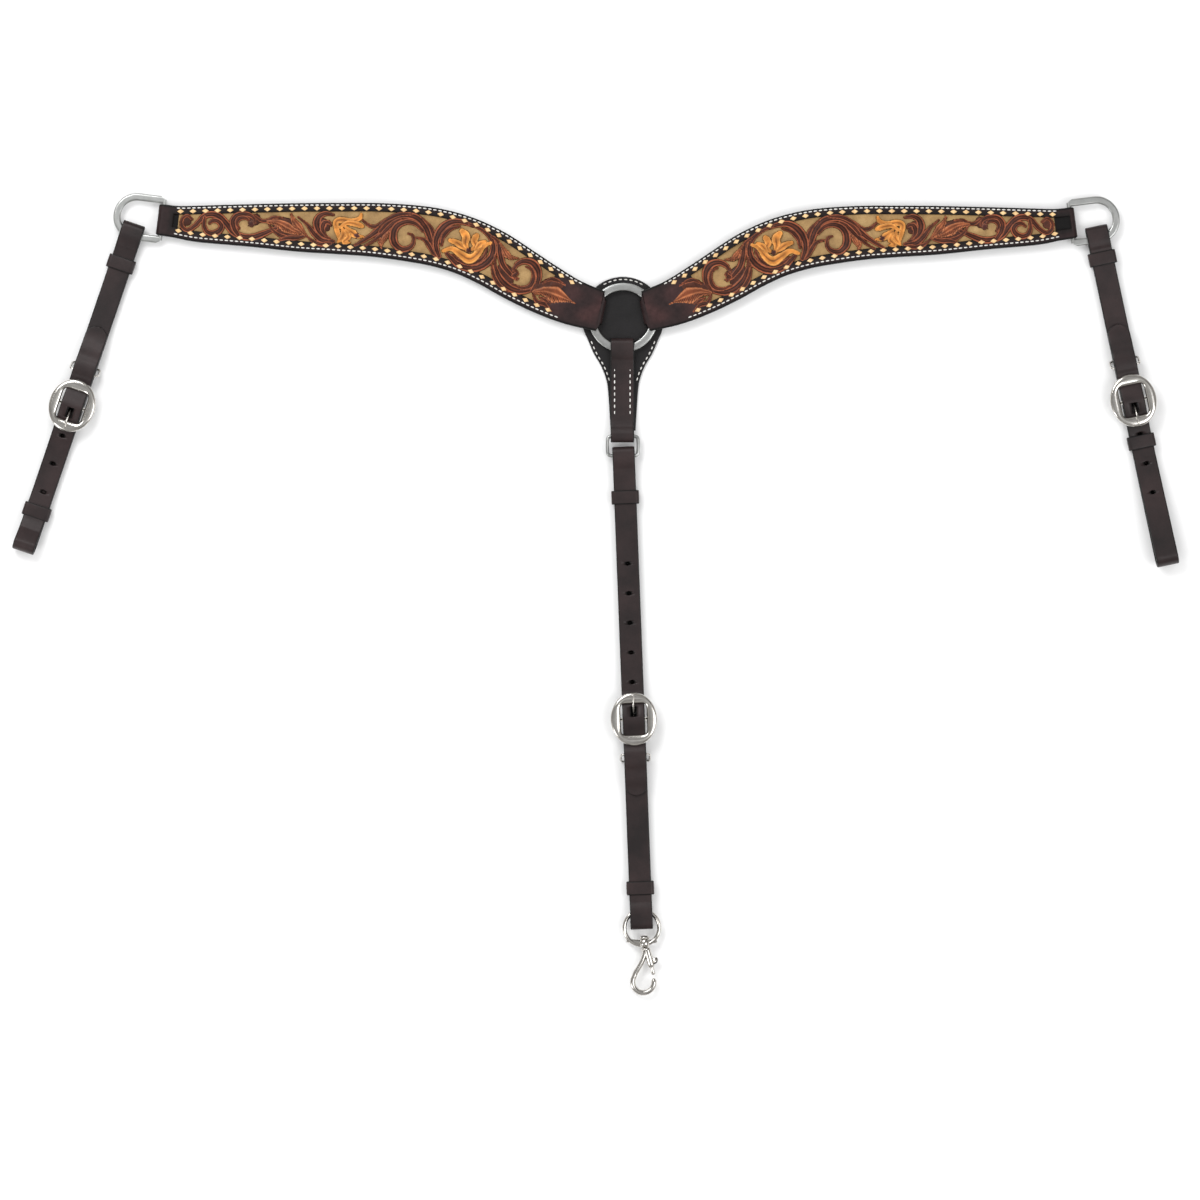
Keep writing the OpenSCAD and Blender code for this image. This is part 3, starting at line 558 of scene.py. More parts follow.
def makeBuckleFrame(name, place, at):
    # oval cart buckle: t = 0 at the opening, 1 at the oval; dome z = low + rise sin(pi t)^0.55 over the top
    b = buckle
    a = np.linspace(0, 2 * np.pi, 96, endpoint=False)
    outer = np.stack([b["halfLength"] * np.cos(a), b["halfWidth"] * np.sin(a)], 1)
    power = b["squareness"]
    inner = np.stack([b["openLength"] * np.sign(np.cos(a)) * np.abs(np.cos(a))**power,
                      b["openWidth"] * np.sign(np.sin(a)) * np.abs(np.sin(a))**power], 1)
    turn = np.linspace(0, np.pi, 13)
    t = np.concatenate([0.5 - 0.5 * np.cos(turn), np.linspace(1, 0, 5)[1:-1]])
    z = np.concatenate([b["rise"] * (0.12 + 0.88 * np.sin(turn)**0.6), np.zeros(3)])
    z[0] = z[12] = 0.35
    flat = inner[:, None] + (outer - inner)[:, None] * t[None, :, None]
    points = inStrap(place, at + flat[..., 0].ravel(), flat[..., 1].ravel(), b["low"] + np.tile(z, len(a)))
    frameMesh = makeMesh(name, points, gridQuads(len(a), len(t), True))
    barEnds = inStrap(place, [at, at], [-b["barHalf"], b["barHalf"]], [strap["bar"]] * 2)
    bar = [tube("bar", barEnds, b["barRadius"])]
    for side in (-1, 1):
        out = [side * 13.1, side * 13.4, side * 14.2]
        lug = inStrap(place, [at, at, at], out, [strap["bar"] - 1.9, 11.0, 13.6])
        bar.append(tube("lug", lug, [1.9, 1.75, 2.1], hint=place[1]))
    return joined(name, [frameMesh] + bar)


def makeTongue(name, place, at):
    # eye round the bar and a flattened arm up through the strap, resting over the near rim
    z = strap["bar"]
    a = np.linspace(0, 2 * np.pi, 20, endpoint=False)
    eye = np.stack([at + buckle["eyeRadius"] * np.cos(a), z + buckle["eyeRadius"] * np.sin(a)], 1)
    eyePath = inStrap(place, eye[:, 0], 0 * eye[:, 0], eye[:, 1])
    ring = tube("eye", eyePath, buckle["eyeWire"], True, 12, place[2])
    arm = throughPoints([(1.6, z + 1.5), (5, z + 3.6), (10, 15.95), (14.5, 17.15), (19.6, 17.05),
                         (21.0, 16.6)], 24)
    radius = np.interp(np.arange(24), [0, 4, 18, 22, 23], [0.7, 1.1, 1.05, 0.8, 0.25])
    armPath = inStrap(place, at + arm[:, 0], 0 * arm[:, 0], arm[:, 1])
    rod = tube("arm", armPath, radius, False, 14, place[2], 0.8)
    return joined(name, [ring, rod])


wireKeeper = {"halfWidth": 12.4, "lean": 3.0, "low": 1.1, "high": 11.0, "bend": 2.4, "radius": 0.9}


def makeWireKeeper(name, place, at):
    # round wire bent to a rectangle round the strap's runs, leaning in step with its height
    w = wireKeeper
    loop = bentLoop(w["halfWidth"], w["low"], w["high"], w["bend"], 7, 0.9)
    u = at - w["lean"] + 2 * w["lean"] * (loop[:, 1] - w["low"]) / (w["high"] - w["low"])
    return tube(name, inStrap(place, u, loop[:, 0], loop[:, 1]), w["radius"], True, 12, place[1])


keeper = {"halfWidth": 10.9, "low": 0.8, "high": 8.6, "bend": 1.6, "halfBand": 5.75, "thick": 1.6, "edge": 0.6}


def makeKeeper(name, place, at):
    # leather band, a slab profile carried round a rounded rectangle about the strap
    k = keeper
    loop = bentLoop(k["halfWidth"], k["low"], k["high"], k["bend"], 7, 1.0)
    d = headings(loop, True)
    path = inStrap(place, np.full(len(loop), at), loop[:, 0], loop[:, 1])
    out = d[:, 1:] * place[2] - d[:, :1] * up
    profile = slabProfile(np.full(len(loop), k["halfBand"]), k["thick"], k["edge"], 0.1)
    edge = (k["halfBand"] - np.abs(profile[..., 0])).ravel()
    return sweep(name, path, np.tile(place[1], (len(loop), 1)), out, profile, True, {"edge": edge})


def buckledStrap(prefix, body, place, path, at, holes, firstHole, wireAt, upperAt, lowerAt, names):
    # one adjustable strap with all that rides on it
    leatherStrap = makeStrap(names["strap"], place, path, at, holes, firstHole)
    settle(leatherStrap, body, [prefix + names["strapNode"]], darkLeather)
    for piece, its, node in ((makeBuckleFrame(prefix + "_cart_buckle", place, at), body, "_buckle_frame"),
                             (makeTongue(prefix + "_tongue_piece", place, at), prefix + "_tongue", "_buckle_tongue"),
                             (makeWireKeeper(prefix + "_wire_loop", place, wireAt), body, "_wire_keeper")):
        settle(piece, its, [prefix + node], brightSteel)
    for which, there in (("upper", upperAt), ("lower", lowerAt)):
        node = prefix + "_" + which + "_keeper"
        settle(makeKeeper(node + "_band", place, there), node, [node], darkLeather)
    print(prefix, "strap made")


tug = {
    "length": 295.0,
    "left": {"angle": 18.8, "start": 5.7, "offset": 0.0, "buckle": 164.0, "tip": 93.0, "hole": 26.7,
             "flatTo": 15.4, "slopeTo": 26.0, "climb": 32.0, "loop": (7.0, 268.0), "upper": 36.6, "lower": 259.0},
    "right": {"angle": -12.0, "start": 5.0, "offset": -1.5, "buckle": 151.8, "tip": 85.4, "hole": 29.2,
              "flatTo": 16.0, "slopeTo": 21.5, "climb": 27.0, "loop": (7.5, 198.0), "upper": 28.0, "lower": 187.4},
}

for sideName in ("left", "right"):
    t = tug[sideName]
    lean = np.radians(t["angle"])
    downwards = np.array([-np.sin(lean), -np.cos(lean)])
    acrossIt = np.array([np.cos(lean), -np.sin(lean)])
    hang = jointPlace(sideName + "_tug_swing")[:2] + downwards * t["start"] + acrossIt * t["offset"]
    tugPlace = strapPlace(hang, downwards)
    farEnd = tugLoop(tug["length"], *t["loop"])
    sidePath = strapSidePath(t["buckle"], t["flatTo"], t["slopeTo"], farEnd, t["climb"], t["tip"])
    buckledStrap(sideName, sideName + "_tug", tugPlace, sidePath, t["buckle"], 3, t["hole"], t["buckle"] - 33,
                 t["upper"], t["lower"], {"strap": sideName + "_tug_leather", "strapNode": "_tug_strap"})

tieDown = {"length": 410.8, "angle": 2.2, "buckle": 179.0, "tip": 113.7, "hole": 31.4, "flatTo": 17.0,
           "slopeTo": 26.0, "climb": 30.0, "upper": 367.6, "lower": 35.1, "foldAt": (0.2, -109.5)}
t = tieDown
lean = np.radians(t["angle"])
upwards = np.array([-np.sin(lean), np.cos(lean)])
tiePlace = strapPlace(np.array(t["foldAt"]) - upwards * t["length"], upwards)
farEnd = tieFarFold(t["length"])
sidePath = strapSidePath(t["buckle"], t["flatTo"], t["slopeTo"], farEnd, t["climb"], t["tip"])
buckledStrap("tie", "tie_down", tiePlace, sidePath, t["buckle"], 5, t["hole"], t["buckle"] - 33,
             t["upper"], t["lower"], {"strap": "tie_down_leather", "strapNode": "_down_strap"})


centre = {"safeRadius": 35.0, "safeThick": 2.3, "ringOuter": 29.5, "band": 6.4, "bandThick": 3.3,
          "hardware": 6.7, "dropX": -0.6, "dropHalf": 10.0, "dropThick": 2.2, "dropTop": -17.4, "dropRingTop": -100.8}


def bandProfile(count, width, thick, corner):
    # rounded rectangle standing on its centre, the same all the way
    turn = np.radians(np.array([0, 30, 60, 90]))
    x = width / 2 - corner + corner * np.cos(turn)
    y = thick / 2 - corner + corner * np.sin(turn)
    ring = np.concatenate([np.stack([x, y], 1), np.stack([-x[::-1], y[::-1]], 1),
                           np.stack([-x, -y], 1), np.stack([x[::-1], -y[::-1]], 1)])
    return np.tile(ring, (count, 1, 1))


def makeRing(name, middle, radius, width, thick, corner):
    # band carried round a circle
    a = np.linspace(0, 2 * np.pi, 144, endpoint=False)
    out = np.stack([np.cos(a), np.sin(a), 0 * a], 1)
    path = np.asarray(middle, float) + radius * out
    return sweep(name, path, out, np.tile(up, (144, 1)), bandProfile(144, width, thick, corner), True)


c = centre
ring = makeRing("centre_ring_band", (0, 0, c["hardware"]), c["ringOuter"] - c["band"] / 2, c["band"],
                c["bandThick"], 0.9)
settle(ring, "centre_ring", ["centre_ring"], satinSteel)

y = np.concatenate([-95.8 + np.linspace(0, 78, 60), np.linspace(-17.5, 34.9, 70)])
taper = throughPoints([(-96, 10.6), (-64, 12.6), (-52, 14.4), (-41, 18.6), (-30, 25), (-17.5, 30.4)], 60)
roundHalf = np.sqrt(np.maximum(c["safeRadius"]**2 - y**2, 0.6))
half = np.where(y < -17.5, np.interp(y, taper[:, 0], taper[:, 1]), roundHalf)
path = np.stack([0 * y, y, np.full(len(y), c["safeThick"] / 2)], 1)
profile = slabProfile(half, c["safeThick"], 0.7)
settle(sweep("ring_safe_leather", path, np.tile([1.0, 0, 0], (len(y), 1)), np.tile(up, (len(y), 1)), profile,
             fields={"edge": (half[:, None] - np.abs(profile[..., 0])).ravel()}),
       "centre", ["ring_safe"], blackLeather)

mid = 2 + c["dropThick"] / 2
flatZ = c["hardware"] - 2 + 0.2 + c["dropThick"] / 2
bottomY = c["dropRingTop"] - 5.3
dropPath = np.concatenate([
    [(bottomY + 20, c["hardware"] - mid)],
    arcPoints((c["dropTop"] - 2 - c["dropThick"], c["hardware"]), mid, -90, 90, 14),
    [(-31, c["hardware"] + mid), (-38, flatZ), (bottomY + 16, flatZ), (bottomY + 9, c["hardware"] + mid)],
    arcPoints((bottomY + 2 + c["dropThick"], c["hardware"]), mid, 90, 270, 14),
    [(bottomY + 19.5, c["hardware"] - mid)]])
dropPath, _ = evenly(roundCorners(dropPath), 0.9)
d = headings(dropPath)
path = np.stack([np.full(len(d), c["dropX"]), dropPath[:, 0], dropPath[:, 1]], 1)
profile = slabProfile(np.full(len(d), c["dropHalf"]), c["dropThick"], 0.8, 0.12)
out = np.stack([0 * d[:, 0], -d[:, 1], d[:, 0]], 1)
fields = {"edge": (c["dropHalf"] - np.abs(profile[..., 0])).ravel()}
dropStrap = sweep("drop_strap_leather", path, np.tile([1.0, 0, 0], (len(d), 1)), out, profile, fields=fields)
settle(dropStrap, "centre", ["drop_strap"], darkLeather)

dropRing = {"halfWidth": 12.8, "height": 16.6, "bend": 2.8, "wire": 1.5, "bulge": 0.03, "sideFrom": 10}

# bent wire whose sides bow out by a sine of the way down them
r = dropRing
loop = bentLoop(r["halfWidth"], 0, -r["height"], r["bend"], 9, 1.0)
onSide = np.abs(loop[:, 0]) > r["sideFrom"]
bulge = 1 + r["bulge"] * np.sin(np.pi * np.clip(-loop[:, 1] / r["height"], 0, 1)) * onSide
ringAt = jointPlace("drop_ring_fold")
path = np.stack([ringAt[0] + loop[:, 0] * bulge, ringAt[1] + loop[:, 1], np.full(len(loop), ringAt[2])], 1)
wire = tube("drop_ring_wire", path, r["wire"], True, 16)
settle(wire, "drop_ring", ["drop_ring"], satinSteel)
print("centre made")


# half length, half width, height, and the power that squares or points the ends
stitchShape, stitchQuads = pillow(1.0, 0.56, 0.4, 0.75)
laceShape, laceQuads = pillow(1.0, 1.95, 0.6, 1.9, 5, 12)
stitching = {"safeInset": 2.4, "safeArc": 32.7, "safeHeight": 2.4, "safeLength": 1.5, "safePitch": 4.6,
             "dropInset": 6.6, "dropHeight": 7.2, "dropFrom": -39, "dropTo": -91, "length": 1.6, "dropPitch": 5.0}


def rowOf(name, row, z, length, shape, quads, pitch):
    # stitches at equal steps along a row of points
    path, _ = evenly(row, pitch)
    d = headings(path)
    return copies(name, shape, quads, path, d, np.full(len(path), length), z)


def safeRow():
    # rows just inside the safe's edge: an arc at the top and down both tapering sides
    a = np.radians(np.linspace(62, 118, 60))
    arc = stitching["safeArc"] * np.stack([np.cos(a), np.sin(a)], 1)
    yy = np.linspace(-21, -52, 30)
    rows = [arc]
    for side in (-1, 1):
        inside = np.interp(yy, taper[:, 0], taper[:, 1]) - stitching["safeInset"]
        rows.append(np.stack([side * inside, yy], 1))
    return rows


w = stitching
rows = [rowOf("row", row, w["safeHeight"], w["safeLength"], stitchShape, stitchQuads, w["safePitch"])
        for row in safeRow()]
settle(joined("safe_thread", rows), "centre", ["safe_stitching"], whiteThread)
down = np.linspace(w["dropFrom"], w["dropTo"], 20)
rows = [rowOf("row", np.stack([np.full(20, c["dropX"] + side * w["dropInset"]), down], 1), w["dropHeight"],
              w["length"], stitchShape, stitchQuads, w["dropPitch"]) for side in (-1, 1)]
settle(joined("drop_thread", rows), "centre", ["drop_stitching"], whiteThread)
print("stitching made")


yoke = {
    # distance out, height and half width of the yoke, from the ring fold to the dee fold
    "stations": [(16, 4.5, 17), (43, 13, 19.5), (66, 24, 21.8), (89, 37, 23.6), (111.5, 50.5, 24.5), (134, 61, 24.7),
                 (157, 67.8, 24.6), (180, 71.6, 24.1), (210, 74.5, 22.9), (240, 75.7, 21.8), (275, 76.7, 20.6),
                 (317, 78.4, 18), (360, 79.7, 15.5), (380, 81.4, 13.6), (395.8, 83.6, 13.3)],
    "left": (395.8, 83.6), "right": (384.8, 81.0),
    "backing": 2.7, "under": 7.15, "top": 10.7,
    "borderTop": 7.2, "borderBottom": 8.9, "windowStart": 52.0, "windowEnd": 382.0, "floor": 8.1, "inlay": 8.75,
    "columns": 700, "rows": 97, "edge": 1.1,
    "stitchInset": (1.9, 3.4), "stitchPitch": 4.35, "laceInset": (4.7, 6.5), "lacePitch": 10.4, "carvingWidth": 1.42,
    "levels": {"ground": 9.3, "vine": 9.95, "leaf": 10.0, "petal": 10.15, "ball": 10.0}, "dome": 0.75,
}

# strokes of the running vine on the left yoke, worked out from the ring's middle: kind, half widths at start,
# middle and end, and points as distance out and height
carving = [
    ("ground", (4.5, 4.5, 4.5), [(371.2, 81.9), (370.6, 81.7)]),
    ("ground", (3, 4, 3), [(315.3, 84), (308.5, 82.6)]),
    ("ground", (5, 6, 4), [(293.6, 80.6), (285.5, 76.5), (278.7, 72.5)]),
    ("ground", (3, 5, 3), [(255, 81.3), (251.6, 75.8)]),
    ("ground", (4, 5, 3), [(102.2, 43.3), (95.4, 31.1)]),
    ("vine", (1.2, 2.3, 2.2), [(366.5, 83.7), (370.2, 86.7), (374.5, 84), (374.9, 77.9), (370.2, 74.5),
        (363.4, 78.3), (356.6, 85.6), (349.9, 87.8), (343.1, 85.9), (337.3, 80.2), (331.6, 72.9), (323.4,
        68.8), (314, 68.5), (304.5, 71.8), (295, 75.8)]),
    ("vine", (1.4, 2.2, 1.6), [(355.3, 85.3), (356.2, 79.2), (353.9, 73.4), (348.5, 71.5), (343.1, 73.8),
        (341.3, 78.3), (344.5, 81.9), (348.5, 82.4), (351.6, 80.2)]),
    ("vine", (1.8, 2.3, 1.2), [(326.2, 69.1), (330.5, 75.8), (331.3, 82.6), (326.8, 87), (319.4, 87.8), (314,
        85.1), (312.6, 80.6)]),
    ("vine", (1, 1.7, 1), [(326.2, 75.8), (328.2, 79.9), (326.2, 84), (320.7, 84.7), (317.3, 81.9)]),
    ("ball", (2, 2.4, 2), [(316.4, 80.2), (315.6, 78.3)]),
    ("vine", (1, 1.5, 0.8), [(313.3, 86.7), (307.2, 82.4), (301.1, 82.6), (297, 85.1), (289.6, 85.1)]),
    ("vine", (0.8, 1.6, 1), [(301.8, 81.3), (297.7, 74.5), (289.6, 69.1), (280.1, 67.7), (269.9, 69.8)]),
    ("vine", (1, 1.8, 1.2), [(292.3, 65.7), (285.5, 67.7), (277.4, 67.7), (269.2, 69.8)]),
    ("leaf", (1.6, 3.6, 0.8), [(301.5, 81.3), (293.6, 80.6), (285.5, 76.5), (278.7, 72.9), (270.3, 70.4)]),
    ("leaf", (1, 2.8, 1), [(282.1, 88), (279.4, 81.9), (274.7, 75.8), (268.6, 69.1)]),
    ("vine", (0.8, 1.9, 2), [(276, 85.3), (268.6, 79.2), (261.8, 70.4), (255, 65.3), (246.2, 64.7)]),
    ("vine", (0.8, 1.6, 1.6), [(268.6, 69.1), (262.5, 64.3), (255.7, 62.3), (248.9, 63)]),
    ("vine", (1.4, 2.8, 1.4), [(249.6, 67), (256.4, 71.1), (260, 77.9), (258.7, 85.1), (253, 88.3), (246.2,
        87.4)]),
    ("vine", (1, 2.2, 1), [(252.3, 69.1), (255.4, 75.2), (253.7, 80.6), (249.6, 80.6), (248.2, 77.9)]),
    ("vine", (1, 1.7, 1.4), [(221.1, 82.6), (215, 77.9), (208.3, 77.9), (198.8, 84), (189.5, 87.8)]),
    ("vine", (1.2, 2.2, 2.2), [(227.9, 61.6), (219.1, 66.4), (209.6, 72.9), (200.1, 80.6), (189.5, 86)]),
    ("vine", (0.8, 1.8, 1.6), [(219.8, 60.9), (212.3, 65), (202.8, 72.9), (194.7, 80.6), (189.5, 83.7)]),
    ("leaf", (0.8, 2, 0.6), [(203.9, 69.1), (205.8, 63.7), (205.3, 58.9)]),
    ("petal", (1.6, 2.2, 1.6), [(240.5, 65.7), (243.2, 74.5), (243.8, 81.3), (238.7, 82.9), (230.6, 81.9),
        (223.8, 84.3), (222.5, 87.8)]),
    ("petal", (1.2, 1.9, 2), [(240.8, 76.5), (234.7, 80.2), (227.9, 79.6), (221.1, 77.5)]),
    ("petal", (1.2, 2.6, 1.2), [(236, 77.2), (231, 72.9), (225.9, 69.3), (220.7, 68.8)]),
    ("petal", (1.2, 2.2, 1.4), [(238.7, 75.8), (237.8, 69.8), (242.1, 64.3)]),
    ("petal", (1.2, 2, 1.2), [(236, 74.5), (233.3, 68.4), (237.4, 64.3), (232, 63.7)]),
    ("ball", (1.6, 2, 1.6), [(227, 69.9), (225.1, 69.1)]),
    ("vine", (1.6, 2.4, 2.4), [(206.5, 72.9), (199.1, 81.3), (191, 86), (182.2, 86.7), (174, 84), (167.9,
        76.5), (163.5, 66.4), (158.8, 56.2), (156.1, 52.1)]),
    ("vine", (1, 1.6, 1.2), [(206.5, 77.9), (198.4, 84.3), (188.9, 87.8), (179.4, 88)]),
    ("vine", (1.6, 2.8, 1.2), [(170, 73.8), (176.1, 79.6), (184.2, 81.3), (191.9, 77.9), (195.4, 70.4),
        (194.1, 63), (188.3, 58.2), (181.5, 59.3), (177.8, 64.3), (178.8, 69.8), (182.8, 71.5)]),
    ("vine", (1, 1.8, 1), [(175.1, 68), (169.3, 66.4), (165.2, 61.6), (161.1, 54.2), (156.7, 51.5)]),
    ("vine", (0.8, 1.8, 1.8), [(171, 84.7), (164.3, 77.9), (160.7, 69.1), (159.1, 59.6), (156.7, 52.8)]),
    ("leaf", (0.8, 1.8, 0.8), [(206.3, 61.6), (202.5, 67.7), (199.1, 72.9)]),
    ("vine", (2, 2.8, 1.6), [(156.4, 52.1), (159.1, 60.9), (157.5, 69.8), (152.3, 77.2), (144.9, 81.3),
        (136.1, 81), (126.6, 77.5)]),
    ("vine", (1.2, 1.7, 1), [(154.4, 61.6), (152.6, 69.1), (146.9, 75.2), (138.8, 77.5)]),
    ("vine", (1.2, 2.8, 2.2), [(130.7, 79.6), (121.2, 75.2), (113, 68.4), (110.1, 59.6), (112.4, 50.8),
        (119.8, 44), (129.3, 41.7), (138.8, 44.4), (145.6, 50.1), (149.6, 54.2)]),
    ("vine", (0.8, 1.5, 1.2), [(116.4, 63.7), (116, 56.2), (121.8, 48.7), (130.7, 45.8), (139.5, 48.7),
        (145.3, 53.5)]),
    ("petal", (1.6, 3.4, 1.6), [(153, 56.6), (145.6, 58.5), (138.1, 53.9), (130.7, 49.8), (123.9, 53.9),
        (118.5, 60.9), (112.4, 63.4)]),
    ("petal", (1.8, 2.4, 1.2), [(147.2, 65.7), (141.5, 63.7), (136.8, 60.3), (132.7, 56.9)]),
    ("petal", (2.6, 2.8, 1.2), [(136.8, 73.4), (133.4, 69.1), (134, 63), (131.7, 57.6)]),
    ("petal", (2.2, 2.2, 1.2), [(124.2, 69.8), (126.6, 65.3), (125.2, 60.9), (129.6, 57.1)]),
    ("petal", (1.4, 2, 1.2), [(117.1, 64.7), (121.8, 62.3), (125.9, 57.1)]),
    ("ball", (1.8, 2.2, 1.8), [(131.7, 57.4), (130.4, 56.9)]),
    ("vine", (1.2, 2.2, 1.6), [(111.7, 69.1), (106, 63.7), (104.6, 54.2), (101.9, 44.7), (95.4, 36.5), (90.3,
        32.5)]),
    ("vine", (1, 2.8, 2.2), [(108.7, 52.8), (108.7, 44.7), (104.9, 33.8), (98.1, 26.4), (88.6, 22.7), (76.4,
        24.1)]),
    ("vine", (0.8, 1.6, 1.2), [(111.7, 46), (110.1, 36.5), (105.6, 28.4), (98.1, 22.2)]),
    ("leaf", (0.8, 2.2, 0.8), [(104.2, 63), (100.2, 56.2), (96.1, 51.5), (88.9, 50.4)]),
    ("vine", (1.4, 2.9, 1.6), [(77.8, 22.7), (72.4, 30.4), (72.1, 39.3), (77.1, 46.3), (84.6, 47.9), (90.7,
        44.7), (93, 39.9)]),
    ("vine", (1, 1.8, 1), [(94.1, 28.4), (87.3, 25.4), (79.8, 26.4), (76.2, 32.5), (77.1, 39.9), (82.5,
        43.3)]),
    ("vine", (0.8, 1.5, 0.6), [(93.8, 41.7), (90, 37.9), (93.4, 35.2), (88.6, 33.2)]),
    ("ground", (2, 4, 3), [(72.4, 25.7), (62.9, 28.4), (53.4, 27.1)]),
    ("leaf", (2, 5.6, 0.6), [(75.4, 21.6), (67, 22.3), (57.5, 19.6), (49.3, 16.2), (40.5, 11.9)]),
    ("vine", (0.6, 1.6, 0.6), [(68.3, 29.1), (61.5, 32.5), (54.8, 30.9), (48.7, 27.3)]),
    ("vine", (1, 1.8, 0.8), [(76.2, 19.6), (73.1, 13.5), (67, 11.5), (61.3, 5.6)]),
    ("vine", (0.8, 1.4, 0.6), [(71, 17.3), (66.3, 14.9), (61.8, 11.5)]),
]

dyesAndPaintedLight = {
    # base, painted rim highlight, groove
    "ground": ((0.060, 0.018, 0.010), (0.085, 0.026, 0.014), (0.030, 0.011, 0.008)),
    "vine": ((0.090, 0.022, 0.010), (0.42, 0.120, 0.050), (0.008, 0.003, 0.002)),
    "leaf": ((0.200, 0.052, 0.018), (0.56, 0.20, 0.080), (0.012, 0.004, 0.003)),
    "petal": ((0.56, 0.215, 0.040), (0.76, 0.37, 0.10), (0.035, 0.009, 0.004)),
    "ball": ((0.060, 0.016, 0.012), (0.20, 0.075, 0.045), (0.020, 0.008, 0.006)),
    "plain": (0.024, 0.0135, 0.014), "dark": (0.009, 0.0065, 0.0065), "edge": (0.003, 0.0025, 0.0025),
    "paintedSheen": (0.056, 0.024, 0.024),
}


def yokeLine(sideName):
    # the centre line, its normals and its half widths, as whole arrays at equal steps along it
    reach, rise = yoke[sideName]
    s = np.array(yoke["stations"], float)
    s = np.stack([16 + (s[:, 0] - 16) * (reach - 16) / (s[-1, 0] - 16), s[:, 1] * rise / s[-1, 1], s[:, 2]], 1)
    line, along = evenly(throughPoints(s, 900), 0.5)
    d = headings(line[:, :2])
    return line[:, :2], np.stack([-d[:, 1], d[:, 0]], 1), line[:, 2], along


def strokeOnYoke(points, line, normal, along):
    # nearest point of the centre line: distance along it and out from it
    points = np.asarray(points, float)
    gap = points[:, None] - line[None]
    nearest = np.argmin((gap**2).sum(-1), 1)
    out = np.einsum("ij,ij->i", gap[np.arange(len(points)), nearest], normal[nearest])
    return np.stack([along[nearest], out], 1)


def smoothStep(x, low, high):
    x = np.clip((x - low) / (high - low), 0, 1)
    return x * x * (3 - 2 * x)


def paint(dyeAndPaintedLight, amount, colour):
    # blends a colour into a colour field of dyes and painted light by an amount at each point
    amount = amount[:, None]
    return dyeAndPaintedLight * (1 - amount) + np.asarray(colour) * amount


